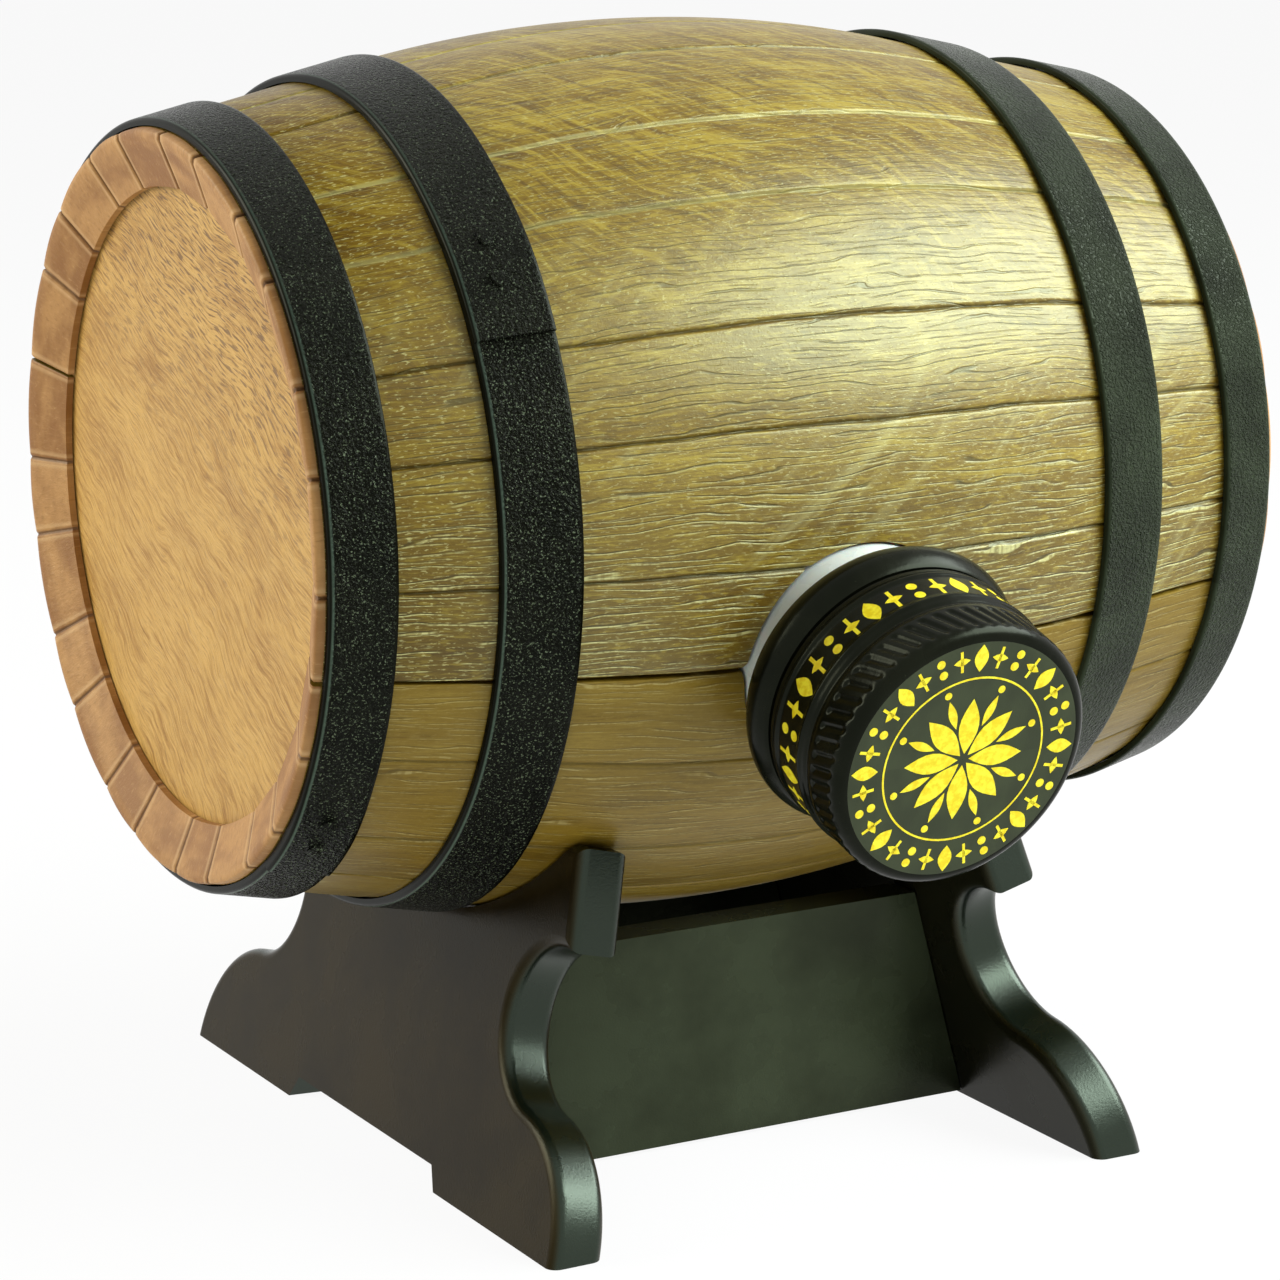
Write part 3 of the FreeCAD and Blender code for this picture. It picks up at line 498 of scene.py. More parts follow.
# Hoops, cap, neck and stand.
def hoop_finish(name, start, wide):
    """Black with fine glinting grains, and smooth glossy rounded edges.

    The right hoops get fewer painted glints and a grey-green painted sheen, and a painted
    highlight line lies on the left ones' left edge.
    """
    g = Graph(name, Specular_IOR_Level=0.07, Specular_Tint=DARK_TINT)
    x, angle, radius = cask_place(g)
    from_middle = g.math("ABSOLUTE", x)
    from_edge = g.math("MINIMUM", from_middle - start, start + wide - from_middle)
    inner = g.step(from_edge, 0.15, 0.45)
    right = g.step(x, -10.0, 10.0)
    glint = g.step(angle_from_top(g, angle), 15.0, 75.0, 0.45, 1.0)
    painted_edge_line = g.step(g.math("ABSOLUTE", start + wide - 0.22 + x), 0.02, 0.12, 1.0, 0.0)
    spot = skin_place(g, x, angle, radius)
    grains = g.noise(spot, scale=4.2, detail=2.0, rough=0.6)
    fine = g.noise(spot, scale=6.2, detail=2.0, rough=0.7)
    wear_and_sheen = g.noise(spot, scale=0.22, detail=3.0)
    colour = g.mix(g.step(wear_and_sheen, 0.35, 0.7), srgb(5, 5, 2), srgb(15, 15, 9))
    # Painted sheen: the right hoops are lightened towards grey-green.
    colour = g.mix(right * g.step(wear_and_sheen, 0.2, 0.8, 0.4, 0.9), colour, srgb(50, 58, 42))
    # Painted glints: pale specks on the grains, more away from the top and fewer on the
    # right.
    painted_glints = inner * g.step(fine, 0.58, 0.67) * glint * (0.6 - right * 0.5)
    colour = g.mix(painted_glints, colour, srgb(132, 146, 116))
    # Painted highlight: a pale line along the left edge of the left hoops.
    colour = g.mix(painted_edge_line * glint * 0.5, colour, srgb(104, 124, 108))
    g.set("Base Color", colour)
    g.set("Roughness", 0.26 - inner * g.step(fine, 0.4, 0.7, 0.0, 0.06))
    g.bump(g.step(grains, 0.35, 0.7) * inner, 0.16)
    return g.material


def cap_finish():
    """Black lacquer on rolled metal, with faint orange peel and handling haze."""
    g = Graph("cap_finish", Specular_IOR_Level=0.12, Specular_Tint=DARK_TINT)
    spot = skin_place(g, *cask_place(g))
    peel = g.noise(spot, scale=2.6, detail=2.0)
    haze = g.noise(spot, scale=0.35, detail=4.0)
    dust = g.step(g.noise(spot, scale=9.0, detail=2.0), 0.74, 0.8)
    colour = g.mix(g.step(haze, 0.35, 0.7), srgb(6, 7, 3), srgb(15, 16, 9))
    colour = g.mix(dust * 0.3, colour, srgb(110, 116, 90))
    g.set("Base Color", colour)
    g.set("Roughness", g.step(haze, 0.3, 0.7, 0.2, 0.28))
    g.bump(peel, 0.01)
    return g.material


def face_finish():
    """The cap's flat face: the same lacquer, duller, with a lighter, greener base colour that
    is a painted reflection.
    """
    g = Graph("face_finish", Specular_IOR_Level=0.4, Specular_Tint=DARK_TINT)
    spot = skin_place(g, *cask_place(g))
    haze = g.noise(spot, scale=0.5, detail=4.0)
    tooth = g.noise(spot, scale=8.0, detail=2.0)
    # Painted reflection: the face's base colour is far lighter than the skirt's.
    g.set("Base Color", g.mix(g.step(haze, 0.3, 0.7), srgb(38, 44, 26), srgb(50, 57, 36)))
    g.set("Roughness", g.step(haze, 0.3, 0.7, 0.48, 0.56))
    g.bump(tooth, 0.006)
    return g.material


def print_finish():
    """Yellow ink with a slightly mottled cover."""
    g = Graph("print_finish", roughness=0.42, Specular_Tint=(1.0, 0.95, 0.5, 1.0))
    mottle = g.noise(g.vector(*g.place()), scale=2.2, detail=4.0, rough=0.6)
    colour = g.mix(g.step(mottle, 0.35, 0.65), srgb(232, 206, 12), srgb(252, 238, 52))
    g.set("Base Color", colour)
    g.bump(mottle, 0.01)
    return g.material


def neck_finish():
    """Smooth milky plastic."""
    g = Graph("neck_finish", Subsurface_Weight=0.15, Subsurface_Scale=0.002)
    spot = g.vector(*g.place())
    cloud = g.noise(spot, scale=0.5, detail=3.0)
    g.set("Base Color", g.mix(cloud, srgb(214, 220, 212), srgb(234, 238, 230)))
    g.set("Roughness", g.step(cloud, 0.3, 0.7, 0.22, 0.34))
    g.bump(g.noise(spot, scale=1.5, detail=1.0), 0.01)
    return g.material


def liner_finish():
    """Fine closed foam."""
    g = Graph("liner_finish", roughness=0.7)
    foam = g.cells(g.vector(*g.place()), scale=6.0)
    g.set("Base Color", g.mix(foam, srgb(205, 205, 198), srgb(236, 236, 230)))
    g.bump(foam, 0.04)
    return g.material


def stand_finish(name, shade, gleam, tint, index, paint_light_by_facing):
    """Satin black moulding: fine tooth, slow sheen changes and a few rub marks.

    paint_light_by_facing darkens the edges and the right half to a greener black as painted
    shade, and makes the edges glossier than the sides.
    """
    g = Graph(name, IOR=index, Specular_Tint=tint)
    x, y, z = g.place()
    spot = g.vector(x, y, z)
    tooth = g.noise(spot, scale=6.0, detail=3.0, rough=0.7)
    cloud = g.noise(spot, scale=0.12, detail=4.0, rough=0.6)
    scuff = g.noise(g.vector(x * 0.15, y * 0.15, z * 0.9), detail=4.0, rough=0.75)
    colour = g.mix(g.step(cloud, 0.3, 0.7), shade, gleam)
    if paint_light_by_facing:
        normal = g.node("ShaderNodeTexCoord", {}, output="Normal")
        sideways = g.node("ShaderNodeSeparateXYZ", {0: normal}, output="X")
        edge = g.step(g.math("ABSOLUTE", sideways), 0.35, 0.9, 1.0, 0.0)
        right = g.step(x, -10.0, 10.0, 0.0, 0.7)
        # Painted shade: edges and the right half darker and greener than the sides.
        colour = g.mix(g.math("MAXIMUM", edge, right), colour, srgb(10, 16, 9))
        g.set("Specular IOR Level", 0.17 + edge * 0.83)
        g.set("Specular Tint", g.mix(edge, tint, (0.8, 1.0, 0.78, 1.0)))
    colour = g.mix(g.step(scuff, 0.68, 0.8) * 0.22, colour, srgb(84, 84, 66))
    g.set("Base Color", colour)
    g.set("Roughness", g.step(cloud, 0.3, 0.7, 0.2, 0.3))
    g.bump(tooth, 0.016)
    return g.material


# Meshes.
def grid_faces(rows, columns, closed_rows=False, closed_columns=False):
    """Quads of a grid of points, row after row."""
    row = np.arange(rows if closed_rows else rows - 1)
    column = np.arange(columns if closed_columns else columns - 1)
    row, column = (part.ravel() for part in np.meshgrid(row, column, indexing="ij"))
    after_row, after_column = (row + 1) % rows, (column + 1) % columns
    corners = [row * columns + column, row * columns + after_column,
               after_row * columns + after_column, after_row * columns + column]
    return np.stack(corners, axis=1).tolist()


def new_piece(name, points, faces, materials, body, replaced=(),
              sharp=SMOOTH_ANGLE):
    """A mesh piece from points in the cask's frame, riding on a body."""
    points = np.asarray(points, float).reshape(-1, 3)
    placed = points @ np.array(CASK_TO_ROW)[:3, :3].T + np.array(CASK_TO_ROW)[:3, 3]
    mesh = bpy.data.meshes.new(name)
    mesh.from_pydata(placed.tolist(), [], faces)
    mesh.validate()
    for material in materials:
        mesh.materials.append(material)
    piece = bpy.data.objects.new(name, mesh)
    bpy.context.scene.collection.objects.link(piece)
    smooth(mesh, sharp)
    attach(piece, body)
    if replaced:
        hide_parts(*replaced)
    return piece


def smooth(mesh, sharp):
    """Smooth shading, but for edges that turn by more than an angle in degrees."""
    mesh.shade_smooth()
    mesh.set_sharp_from_angle(angle=math.radians(sharp))


def round_cask(outline, angles):
    """Points of an outline of x and radius, repeated at angles round the cask."""
    turn = np.radians(np.asarray(angles))[:, None]
    x, radius = np.asarray(outline, float).T
    return np.stack([x + turn * 0, radius * np.cos(turn), radius * np.sin(turn)], axis=-1)


def round_neck(outline, angles):
    """Points of an outline of radius and distance, repeated at angles round the neck."""
    turn = np.radians(np.asarray(angles))[:, None]
    radius, far = np.asarray(outline, float).T
    return np.stack([radius * np.cos(turn), -far + turn * 0, radius * np.sin(turn)], axis=-1)


def stave_radius(x):
    """Outside of the staves: a bend in the middle and straight cones beyond it."""
    x = np.abs(x)
    leg = math.sqrt(STAVE_BEND ** 2 - BEND_END ** 2)
    bend = BELLY_RADIUS - STAVE_BEND + np.sqrt(STAVE_BEND ** 2 - np.minimum(x, BEND_END) ** 2)
    return bend - BEND_END / leg * np.maximum(x - BEND_END, 0)


def stave_outline():
    """Closed outline of a shell, as x and radius, and which of its points are outside."""
    end = float(stave_radius(CASK_HALF))
    foot = CASK_HALF - HEAD_RECESS
    lip = foot - HEAD_LIP
    slot = lip - HEAD_THICK - FIT_GAP * 2
    steps = np.linspace(0, CASK_HALF - RIM_ROUND, LENGTH_STEPS)
    outside = [(x, float(stave_radius(x))) for x in steps]
    outside += [(CASK_HALF - RIM_ROUND / 3, end - RIM_ROUND / 3),
                (CASK_HALF, end - RIM_ROUND),
                (CASK_HALF, end - RIM_FLAT)]
    for share in BEVEL_STEPS:
        outside.append((CASK_HALF - HEAD_RECESS * share,
                        end - RIM_FLAT + (HEAD_RADIUS - end + RIM_FLAT) * share))
    inside = [(lip, HEAD_RADIUS), (lip, HEAD_RADIUS + HEAD_SLOT),
              (slot, HEAD_RADIUS + HEAD_SLOT), (slot, HEAD_RADIUS)]
    wall = [(x, float(stave_radius(x)) - SHELL_WALL)
            for x in np.linspace(slot, 0, WALL_STEPS)]
    half = outside + inside + wall
    mirror = [(-x, radius) for x, radius in reversed(half[1:-1])]
    outer = [True] * len(outside) + [False] * (len(inside) + len(wall))
    return np.array(half + mirror), np.array(outer + outer[1:-1][::-1])


def stave_angles(start, first):
    """Angles of a shell's rows, close together at the joints."""
    low, high = start + SEAM_HALF, start + HALF_TURN - SEAM_HALF
    rows = set(np.linspace(low, high, SHELL_ROWS).round(3))
    for pair in range(int(HALF_TURN / STAVE_PAIR) + 1):
        for joint in (pair * STAVE_PAIR, pair * STAVE_PAIR + first):
            rows.update(round(start + joint + way * step, 3) for step in JOINT_ROWS
                        for way in (-1, 1))
    return np.array(sorted(row for row in rows if low <= row <= high))


def staves(name, node, start, first, finish, groove):
    """One half shell with real grooves between its staves and crowned boards.

    groove is the depth of the grooves. The seam's edges fall away towards the neck.
    """
    outline, outer = stave_outline()
    angles = stave_angles(start, first)
    tangent = np.roll(outline, -1, axis=0) - np.roll(outline, 1, axis=0)
    normal = np.stack([-tangent[:, 1], tangent[:, 0]], axis=1)
    normal /= np.linalg.norm(normal, axis=1)[:, None]

    turned = (angles - start)[:, None]
    x, radius = outline[:, 0][None, :], outline[:, 1][None, :]
    shift = turned + wander(x, turned, np.sin)
    part = np.mod(shift, STAVE_PAIR)
    near = np.minimum(np.minimum(part, STAVE_PAIR - part), np.abs(part - first))
    gap = near * np.radians(1) * radius
    half = np.where(part < first, first, STAVE_PAIR - first) / 2
    crown = STAVE_CROWN * (1 - np.clip(near / half, 0, 1)) ** 2
    deep = groove * np.exp(-(gap / GROOVE_HALF) ** 2) + crown
    from_seam = np.abs(angles - HALF_TURN)[:, None] * np.radians(1) * radius
    neckward = np.clip(1 - (np.abs(x) - SEAM_DEEP_HALF) / SEAM_FADE, 0, 1)
    deep = deep + SEAM_DEEP * neckward * np.exp(-(from_seam / SEAM_HALF_WIDE) ** 2)
    deep = deep * outer[None, :]
    along, out = x - normal[None, :, 0] * deep, radius - normal[None, :, 1] * deep

    turn = np.radians(angles)[:, None]
    placed = np.stack([along, out * np.cos(turn), out * np.sin(turn)], axis=-1)
    rows, columns = placed.shape[:2]
    faces = grid_faces(rows, columns, closed_columns=True)
    faces.append(list(range(columns)))
    faces.append(list(range(rows * columns - 1, (rows - 1) * columns - 1, -1)))
    piece = new_piece(name, placed, faces, [finish, MATERIALS["chime"]], "cask",
                      [node])
    cut_neck_hole(piece)
    mark_chime(piece.data)
    smooth(piece.data, STAVE_SMOOTH_ANGLE)


def cut_neck_hole(piece):
    """Cuts the round hole for the neck through a shell."""
    ring = [(NECK_RADIUS + LOOSE_GAP, far) for far in NECK_CUT]
    angles = np.arange(NECK_SIDES) * FULL_TURN / NECK_SIDES
    points = round_neck(ring, angles).transpose(1, 0, 2)
    faces = grid_faces(2, NECK_SIDES, closed_columns=True)
    faces += [list(range(NECK_SIDES))[::-1], list(range(NECK_SIDES, 2 * NECK_SIDES))]
    cutter = new_piece("neck_cutter", points, faces, [], "cask")
    cut = piece.modifiers.new("neck_hole", "BOOLEAN")
    cut.operation = "DIFFERENCE"
    cut.solver = "EXACT"
    cut.object = cutter
    graph = bpy.context.evaluated_depsgraph_get()
    made = bpy.data.meshes.new_from_object(piece.evaluated_get(graph))
    piece.modifiers.clear()
    piece.data = made
    bpy.data.objects.remove(cutter)


def mark_chime(mesh):
    """Gives the stave ends and bevels the second material."""
    to_cask = CASK_TO_ROW.inverted()
    recess = CASK_HALF - HEAD_RECESS - HEAD_LIP
    for face in mesh.polygons:
        spot = to_cask @ face.center
        below = float(stave_radius(spot.x)) - math.hypot(spot.y, spot.z)
        inside = abs(spot.x) > recess and below > RIM_ROUND * 0.8
        if inside or abs(spot.x) > END_HOOP[0] + END_HOOP[1] - LOOSE_GAP:
            face.material_index = 1


def head_disc(name, node, side):
    """Flat head board in its slot, with a chamfered edge."""
    face = CASK_HALF - HEAD_RECESS - HEAD_LIP - FIT_GAP
    edge = HEAD_RADIUS + HEAD_SLOT - FIT_GAP
    outline = [(side * face, radius)
               for radius in np.linspace(AXIS_HOLE, edge - HEAD_EDGE, 36)]
    outline += [(side * (face - HEAD_EDGE), edge), (side * (face - HEAD_THICK), edge),
                (side * (face - HEAD_THICK), AXIS_HOLE)]
    angles = np.arange(0, FULL_TURN, 3)
    points = round_cask(outline, angles)
    if side > 0:
        points = points[::-1]
    faces = grid_faces(len(angles), len(outline), closed_rows=True, closed_columns=True)
    new_piece(name, points, faces, [MATERIALS["head"]], "cask", [node])


def hoop_outline(low, thick, start, wide, side):
    """Hoop section on the staves' slope, with rounded outer corners."""
    inner, outer = start, start + wide
    corner = []
    for degrees in np.linspace(180, 90, 6):
        turn = math.radians(degrees)
        corner.append((HOOP_ROUND * (1 + math.cos(turn)), HOOP_ROUND * (math.sin(turn) - 1)))
    points = [(inner, low)]
    points += [(inner + along, low + thick + up) for along, up in corner]
    points += [(x, low + thick)
               for x in np.linspace(inner + HOOP_SHOULDER, outer - HOOP_SHOULDER, 9)]
    points += [(outer - along, low + thick + up) for along, up in reversed(corner)]
    points += [(outer, low)]
    return [(side * x, float(stave_radius(x)) + up) for x, up in points]


def hoop(name, node, side, size, lap_start, finish):
    """Hoop whose outer end steps down at the end of its lap, with two studs."""
    start, wide = size
    cliff = [lap_start + LAP_ANGLE + step for step in LAP_CLIFF]
    angles = np.union1d(np.arange(0, FULL_TURN, HOOP_ROW_STEP), cliff)
    from_start = np.mod(angles - lap_start, FULL_TURN)
    rise = np.clip(from_start / (LAP_ANGLE * 0.5), 0, 1) * (from_start < LAP_ANGLE)
    thin = np.array(hoop_outline(FIT_GAP, HOOP_THICK, start, wide, side))
    thick = np.array(hoop_outline(FIT_GAP, HOOP_THICK + LAP_THICK, start, wide, side))
    turn, share = np.radians(angles)[:, None], rise[:, None]
    x, radius = (thin[:, part][None, :] * (1 - share) + thick[:, part][None, :] * share
                 for part in (0, 1))
    points = np.stack([x, radius * np.cos(turn), radius * np.sin(turn)], axis=-1)
    if side > 0:
        points = points[::-1]
    faces = grid_faces(len(angles), len(thin), closed_rows=True, closed_columns=True)
    parts, count = [points.reshape(-1, 3)], points.shape[0] * points.shape[1]
    middle = start + wide / 2
    top = float(stave_radius(middle)) + FIT_GAP + HOOP_THICK + LAP_THICK
    for way in (-1, 1):
        angle = lap_start + LAP_ANGLE / 2 + way * STUD_STEP / 2
        dome, dome_faces = stud(side * middle, top, angle)
        faces += [[count + corner for corner in face] for face in dome_faces]
        parts.append(dome)
        count += len(dome)
    new_piece(name, np.concatenate(parts), faces, [finish], "cask", [node])


def stud(x, top, angle):
    """Closed low dome of a rivet, standing out of a hoop at an angle."""
    points = [(0.0, 0.0, -HOOP_THICK)]
    for ring in range(STUD_RINGS + 1):
        lift = math.radians(90 * ring / STUD_RINGS)
        for step in range(STUD_SIDES):
            turn = math.tau * step / STUD_SIDES
            points.append((STUD_RADIUS * math.cos(lift) * math.cos(turn),
                           STUD_RADIUS * math.cos(lift) * math.sin(turn),
                           STUD_HIGH * math.sin(lift)))
    points = np.array(points)
    faces = [[0, 1 + (step + 1) % STUD_SIDES, 1 + step] for step in range(STUD_SIDES)]
    for face in grid_faces(STUD_RINGS + 1, STUD_SIDES, closed_columns=True):
        faces.append([corner + 1 for corner in face])
    turn = math.radians(angle)
    out = np.array([0, math.cos(turn), math.sin(turn)])
    round_way = np.array([0, -math.sin(turn), math.cos(turn)])
    placed = (np.array([x, 0, 0]) + points[:, :1] * np.array([1, 0, 0])
              + points[:, 1:2] * round_way + (points[:, 2:] + top) * out)
    return placed, faces


def cap_outline():
    """Outline of the cap from the middle of its top round to its inside."""
    points = [(AXIS_HOLE, CAP_TOP)]
    points += [(radius, CAP_TOP) for radius in np.linspace(1, CAP_RADIUS - CAP_CORNER, 8)]
    for degrees in np.linspace(*CAP_CORNER_ANGLES, 8):
        turn = math.radians(degrees)
        points.append((CAP_RADIUS - CAP_CORNER * (1 - math.cos(turn)),
                       CAP_TOP - CAP_CORNER * (1 - math.sin(turn))))
    for far in np.linspace(CAP_TOP - CAP_CORNER - 0.1, CAP_LOW, CAP_SKIRT_STEPS):
        points.append((CAP_RADIUS, far))
    inside, ceiling = CAP_RADIUS - CAP_WALL, CAP_TOP - CAP_WALL
    points += [(inside, CAP_LOW), (inside, ceiling), (AXIS_HOLE, ceiling)]
    return np.array(points)


def cap():
    """Rolled cap: leaning flutes below its round edge, a groove and two beads."""
    outline = cap_outline()
    steps = FLUTE_COUNT * FLUTE_SIDES
    angles = np.arange(steps) * FULL_TURN / steps
    points = round_neck(outline, angles)
    far = outline[:, 1][None, :]
    skirt = (outline[:, 0] > CAP_RADIUS - CAP_WALL / 2)[None, :]
    turn = np.radians(angles)[:, None]
    lean = (far - FLUTE_LOW) * math.tan(math.radians(FLUTE_LEAN)) / CAP_RADIUS
    wave = np.clip(np.cos((turn + lean) * FLUTE_COUNT), -FLUTE_FLAT, 1) + FLUTE_FLAT
    zone = np.clip((far - FLUTE_LOW) / FLUTE_FADE_LOW, 0, 1)
    zone = zone * np.clip((CAP_TOP - FLUTE_FADE_HIGH - far) / FLUTE_FADE_HIGH, 0, 1)
    change = -FLUTE_DEPTH * wave / (1 + FLUTE_FLAT) * zone
    for middle, way in BEADS:
        change = change + way * BEAD_RISE * np.exp(-((far - middle) / BEAD_WIDE * 3) ** 2)
    radius = outline[:, 0][None, :] + change * skirt
    points[..., 0] = radius * np.cos(turn)
    points[..., 2] = radius * np.sin(turn)
    faces = grid_faces(steps, len(outline), closed_rows=True, closed_columns=True)
    piece = new_piece("cap_lacquer", points[::-1], faces,
                      [MATERIALS["cap"], MATERIALS["face"]], "cap",
                      ["cap_shell"], CAP_SMOOTH_ANGLE)
    to_cask = CASK_TO_ROW.inverted()
    for face in piece.data.polygons:
        spot = to_cask @ face.center
        flat = math.hypot(spot.x, spot.z) < CAP_RADIUS - CAP_CORNER
        if flat and spot.y < -CAP_TOP + FIT_GAP:
            face.material_index = 1


def tamper_ring():
    """Swelling band that stays on the neck, with small rolled lips."""
    low = BAND_TOP - BAND_HIGH
    edge = CAP_RADIUS + BAND_RIM
    swell_top, swell_high = BAND_TOP - BAND_SWELL_END, BAND_HIGH - 2 * BAND_SWELL_END
    outline = [(BAND_BORE, BAND_TOP), (edge - BAND_LIP, BAND_TOP)]
    for share in np.linspace(0, 1, BAND_SWELL_STEPS):
        swell = BAND_SWELL * math.sin(math.pi * share)
        outline.append((edge + swell, swell_top - swell_high * share))
    outline += [(edge - BAND_LIP, low), (BAND_BORE, low)]
    angles = np.arange(0, FULL_TURN, BAND_ROW_STEP)
    faces = grid_faces(len(angles), len(outline), closed_rows=True, closed_columns=True)
    new_piece("tamper_ring", round_neck(outline, angles)[::-1], faces, [MATERIALS["cap"]],
              "cask", ["tamper_band"])


# Generic print: a flower in a thin ring and a wreath of marks, and marks on the skirt.
def set_down(points, centre, angle):
    """Flat points turned by an angle in degrees and moved to a centre."""
    turn = math.radians(angle)
    spin = np.array([[math.cos(turn), math.sin(turn)], [-math.sin(turn), math.cos(turn)]])
    return points @ spin + np.array(centre)


def leaf(centre, angle, length, width):
    """Pointed oval, outlined by two arcs."""
    share = np.linspace(0, 1, 9)
    along = (share - 0.5) * length
    bulge = np.sin(math.pi * share) * width / 2
    there, back = np.stack([along, bulge], 1), np.stack([along, -bulge], 1)[-2:0:-1]
    return set_down(np.concatenate([there, back]), centre, angle)


def bar(centre, angle, length, width):
    corners = [[-length, -width], [length, -width], [length, width], [-length, width]]
    return set_down(np.array(corners) / 2, centre, angle)


def dot(centre, radius):
    turn = np.linspace(0, math.tau, 17)[:-1]
    return np.stack([np.cos(turn), np.sin(turn)], 1) * radius + np.array(centre)


def ring_spot(radius, angle):
    return radius * math.cos(math.radians(angle)), radius * math.sin(math.radians(angle))


def top_shapes():
    """Flat shapes of the print on the cap's top, in its own plane."""
    shapes = []
    for number in range(PETALS):
        angle, between = (FULL_TURN / PETALS * (number + part) for part in (0, 0.5))
        for turn, (radius, *size) in ((angle, PETAL), (between, SMALL_PETAL)):
            shapes.append(leaf(ring_spot(radius, turn), turn, *size))
        shapes.append(dot(ring_spot(PETAL_DOT[0], between), PETAL_DOT[1]))
    radius, *size = THIN_RING
    for number in range(THIN_RING_BARS):
        angle = FULL_TURN / THIN_RING_BARS * number
        shapes.append(bar(ring_spot(radius, angle), angle + 90, *size))
    for number in range(WREATH_MARKS):
        angle = FULL_TURN / WREATH_MARKS * number
        centre = ring_spot(WREATH_RADIUS, angle)
        if number % 4 == 0:
            shapes.append(leaf(centre, angle, *WREATH_LEAF))
        elif number % 2:
            shapes.append(leaf(centre, angle + 90, *WREATH_CROSS[:2]))
            shapes.append(bar(centre, angle, *WREATH_CROSS[2:]))
        else:
            shapes += [dot(ring_spot(radius, angle), size) for radius, size in WREATH_DOTS]
    return shapes


def band_shapes():
    """Marks of the print round the skirt: along its arc and along the neck."""
    shapes = []
    for number in range(SKIRT_MARKS):
        across = number * math.tau * CAP_RADIUS / SKIRT_MARKS
        centre = (across, SKIRT_FAR)
        if number % 4 == 0:
            shapes.append(leaf(centre, 90, *SKIRT_LEAF))
        elif number % 2:
            shapes.append(bar(centre, 90, *SKIRT_CROSS[:2]))
            shapes.append(leaf(centre, 0, *SKIRT_CROSS[2:]))
        else:
            shapes += [dot((across, far), size) for far, size in SKIRT_DOTS]
    return shapes


def print_piece(name, shapes, place):
    """Thin closed plates of ink, half sunk in the lacquer.

    place puts a flat point at a height above the lacquer.
    """
    points, faces = [], []
    for shape in shapes:
        first, size = len(points), len(shape)
        for high in (-PRINT_THICK, PRINT_THICK):
            points += [place(a, b, high) for a, b in shape]
        faces.append([first + k for k in range(size)][::-1])
        faces.append([first + size + k for k in range(size)])
        for k in range(size):
            after = (k + 1) % size
            faces.append([first + k, first + after, first + size + after, first + size + k])
    new_piece(name, points, faces, [MATERIALS["print"]], "cap")


def on_top(a, b, high):
    return a, -(CAP_TOP + high), b


def on_skirt(a, b, high):
    turn = a / CAP_RADIUS
    radius = CAP_RADIUS + high
    return radius * math.cos(turn), -b, radius * math.sin(turn)


# Room, lights and camera.
def seen_directly(tree):
    """1 for what the camera sees, also mirrored or through a pane, and 0 for light."""
    rays = tree.nodes.new("ShaderNodeLightPath")
    total = rays.outputs["Is Camera Ray"]
    for title in ("Is Glossy Ray", "Is Transmission Ray"):
        add = tree.nodes.new("ShaderNodeMath")
        add.operation = "MAXIMUM"
        tree.links.new(total, add.inputs[0])
        tree.links.new(rays.outputs[title], add.inputs[1])
        total = add.outputs[0]
    return total


def add_floor():
    """Pale floor that keeps a soft shadow."""
    half = FLOOR_HALF
    corners = [(-half, -half, 0), (half, -half, 0), (half, half, 0), (-half, half, 0)]
    mesh = bpy.data.meshes.new("floor")
    mesh.from_pydata(corners, [], [(0, 1, 2, 3)])
    floor = bpy.data.objects.new("floor", mesh)
    bpy.context.scene.collection.objects.link(floor)
    material = bpy.data.materials.new("floor")
    material.use_nodes = True
    tree = material.node_tree
    tree.nodes.clear()
    matt = tree.nodes.new("ShaderNodeBsdfDiffuse")
    matt.inputs["Color"].default_value = FLOOR_COLOUR
    glow = tree.nodes.new("ShaderNodeEmission")
    share = tree.nodes.new("ShaderNodeMath")
    share.operation = "MULTIPLY"
    share.inputs[1].default_value = FLOOR_WHITE
    blend = tree.nodes.new("ShaderNodeMixShader")
    output = tree.nodes.new("ShaderNodeOutputMaterial")
    tree.links.new(seen_directly(tree), share.inputs[0])
    tree.links.new(share.outputs[0], blend.inputs[0])
    tree.links.new(matt.outputs[0], blend.inputs[1])
    tree.links.new(glow.outputs[0], blend.inputs[2])
    tree.links.new(blend.outputs[0], output.inputs["Surface"])
    mesh.materials.append(material)


def add_world():
    """White all round, and dimmer as a light than as a background."""
    world = bpy.data.worlds.new("studio")
    bpy.context.scene.world = world
    world.use_nodes = True
    tree = world.node_tree
    tree.nodes.clear()
    back = tree.nodes.new("ShaderNodeBackground")
    back.inputs["Color"].default_value = (1, 1, 1, 1)
    level = tree.nodes.new("ShaderNodeMapRange")
    level.inputs["To Min"].default_value = WORLD_LIGHT
    level.inputs["To Max"].default_value = 1.0
    output = tree.nodes.new("ShaderNodeOutputWorld")
    tree.links.new(seen_directly(tree), level.inputs["Value"])
    tree.links.new(level.outputs[0], back.inputs["Strength"])
    tree.links.new(back.outputs[0], output.inputs["Surface"])


def direction(azimuth, elevation):
    """From the object towards a viewer: azimuth 0 is a viewer at -Y, 90 one at +X."""
    a, e = math.radians(azimuth), math.radians(elevation)
    return Vector((math.sin(a) * math.cos(e), -math.cos(a) * math.cos(e), math.sin(e)))


def add_lamp(name, azimuth, elevation, wide, high, power, colour):
    """Oval area lamp that shines on the cask from a direction."""
    lamp = bpy.data.lights.new(name, "AREA")
    lamp.shape = "ELLIPSE"
    lamp.size = wide
    lamp.size_y = high
    lamp.energy = power
    lamp.color = colour
    holder = bpy.data.objects.new(name, lamp)
    bpy.context.scene.collection.objects.link(holder)
    way = direction(azimuth, elevation)
    holder.location = Vector((0, 0, AXIS_HEIGHT * MM)) + way * LAMP_FAR
    holder.rotation_mode = "QUATERNION"
    holder.rotation_quaternion = (-way).to_track_quat("-Z", "Y")


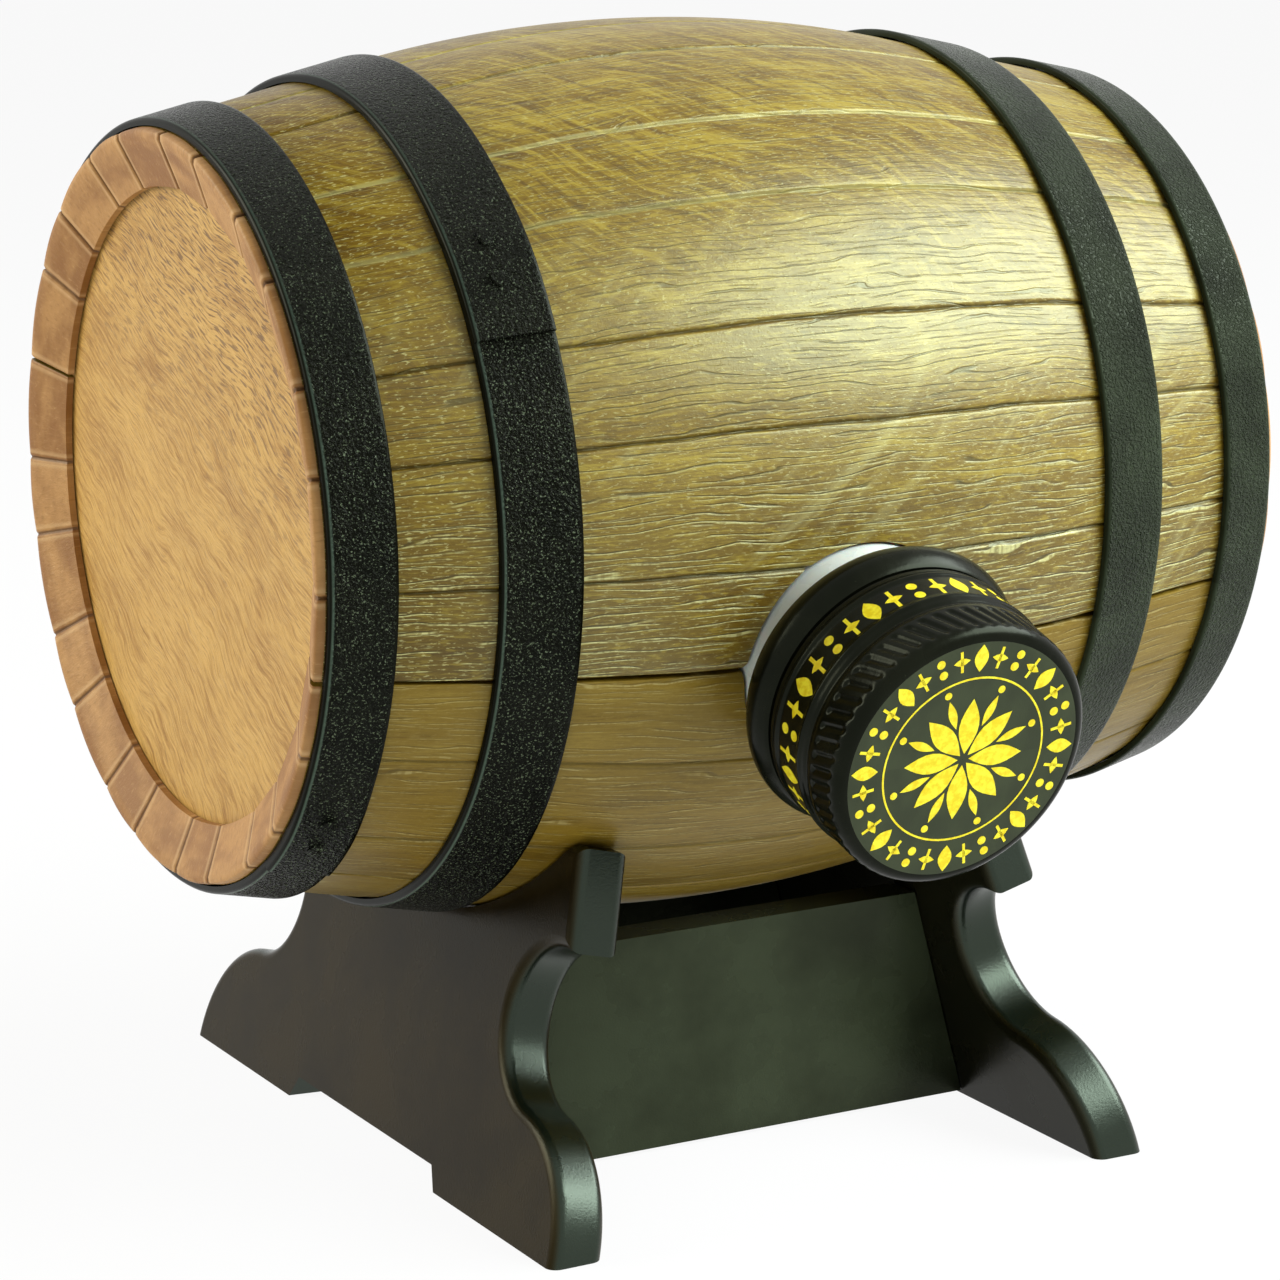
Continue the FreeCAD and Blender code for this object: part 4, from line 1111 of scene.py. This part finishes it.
def add_camera():
    """Camera at the photograph's angle."""
    data = bpy.data.cameras.new("photo_view")
    data.lens = CAMERA_LENS
    data.sensor_width = CAMERA_SENSOR
    data.clip_start, data.clip_end = CAMERA_CLIP
    camera = bpy.data.objects.new("photo_view", data)
    bpy.context.scene.collection.objects.link(camera)
    back = direction(CAMERA_AZIMUTH, CAMERA_ELEVATION)
    camera.location = Vector(CAMERA_TARGET) + back * CAMERA_FAR
    camera.rotation_mode = "QUATERNION"
    aim = (-back).to_track_quat("-Z", "Y")
    camera.rotation_quaternion = aim @ Quaternion((0, 0, 1), math.radians(CAMERA_ROLL))
    bpy.context.scene.camera = camera


MATERIALS = {
    "upper": stave_finish("upper_stave_finish", 0.0, WIDE_STAVE, UPPER_TONES, 0.0),
    "lower": stave_finish("lower_stave_finish", HALF_TURN, NARROW_STAVE, LOWER_TONES, 0.85),
    "chime": chime_finish(),
    "head": head_finish(),
    "end_hoop": hoop_finish("end_hoop_finish", *END_HOOP),
    "quarter_hoop": hoop_finish("quarter_hoop_finish", *QUARTER_HOOP),
    "cap": cap_finish(),
    "face": face_finish(),
    "print": print_finish(),
    "neck": neck_finish(),
    "liner": liner_finish(),
    "frame": stand_finish("frame_finish", srgb(30, 23, 7), srgb(42, 34, 15),
                          (1.0, 0.96, 0.6, 1.0), 1.34, True),
    "panel": stand_finish("panel_finish", srgb(40, 45, 30), srgb(56, 63, 45), DARK_TINT, 1.28,
                          False),
}

staves("upper_staves", "upper_shell", 0.0, WIDE_STAVE, MATERIALS["upper"], GROOVE_DEEP)
staves("lower_staves", "lower_shell", HALF_TURN, NARROW_STAVE, MATERIALS["lower"],
       GROOVE_DEEP * 0.5)
head_disc("left_head_board", "left_head", -1)
head_disc("right_head_board", "right_head", 1)
hoop("left_end_band", "left_end_hoop", -1, END_HOOP, 197, MATERIALS["end_hoop"])
hoop("left_quarter_band", "left_quarter_hoop", -1, QUARTER_HOOP, 113,
     MATERIALS["quarter_hoop"])
hoop("right_quarter_band", "right_quarter_hoop", 1, QUARTER_HOOP, 300,
     MATERIALS["quarter_hoop"])
hoop("right_end_band", "right_end_hoop", 1, END_HOOP, 40, MATERIALS["end_hoop"])
cap()
tamper_ring()
print_piece("cap_top_print", top_shapes(), on_top)
print_piece("cap_skirt_print", band_shapes(), on_skirt)

for node, finish in (("bottle", "neck"), ("cap_liner", "liner"),
                     ("stand_left_frame", "frame"), ("stand_right_frame", "frame"),
                     ("stand_front_panel", "panel"), ("stand_rear_panel", "panel")):
    nodes[node].data.materials.clear()
    nodes[node].data.materials.append(MATERIALS[finish])

add_floor()
add_world()
add_lamp("key", 54, 36, 0.5, 0.3, 4.2, (0.93, 0.99, 1.0))
add_lamp("left_fill", -120, 24, 0.3, 0.3, 1.6, (1.0, 0.95, 0.84))
add_camera()
bpy.context.scene.view_settings.view_transform = "Standard"

bpy.context.view_layer.update()
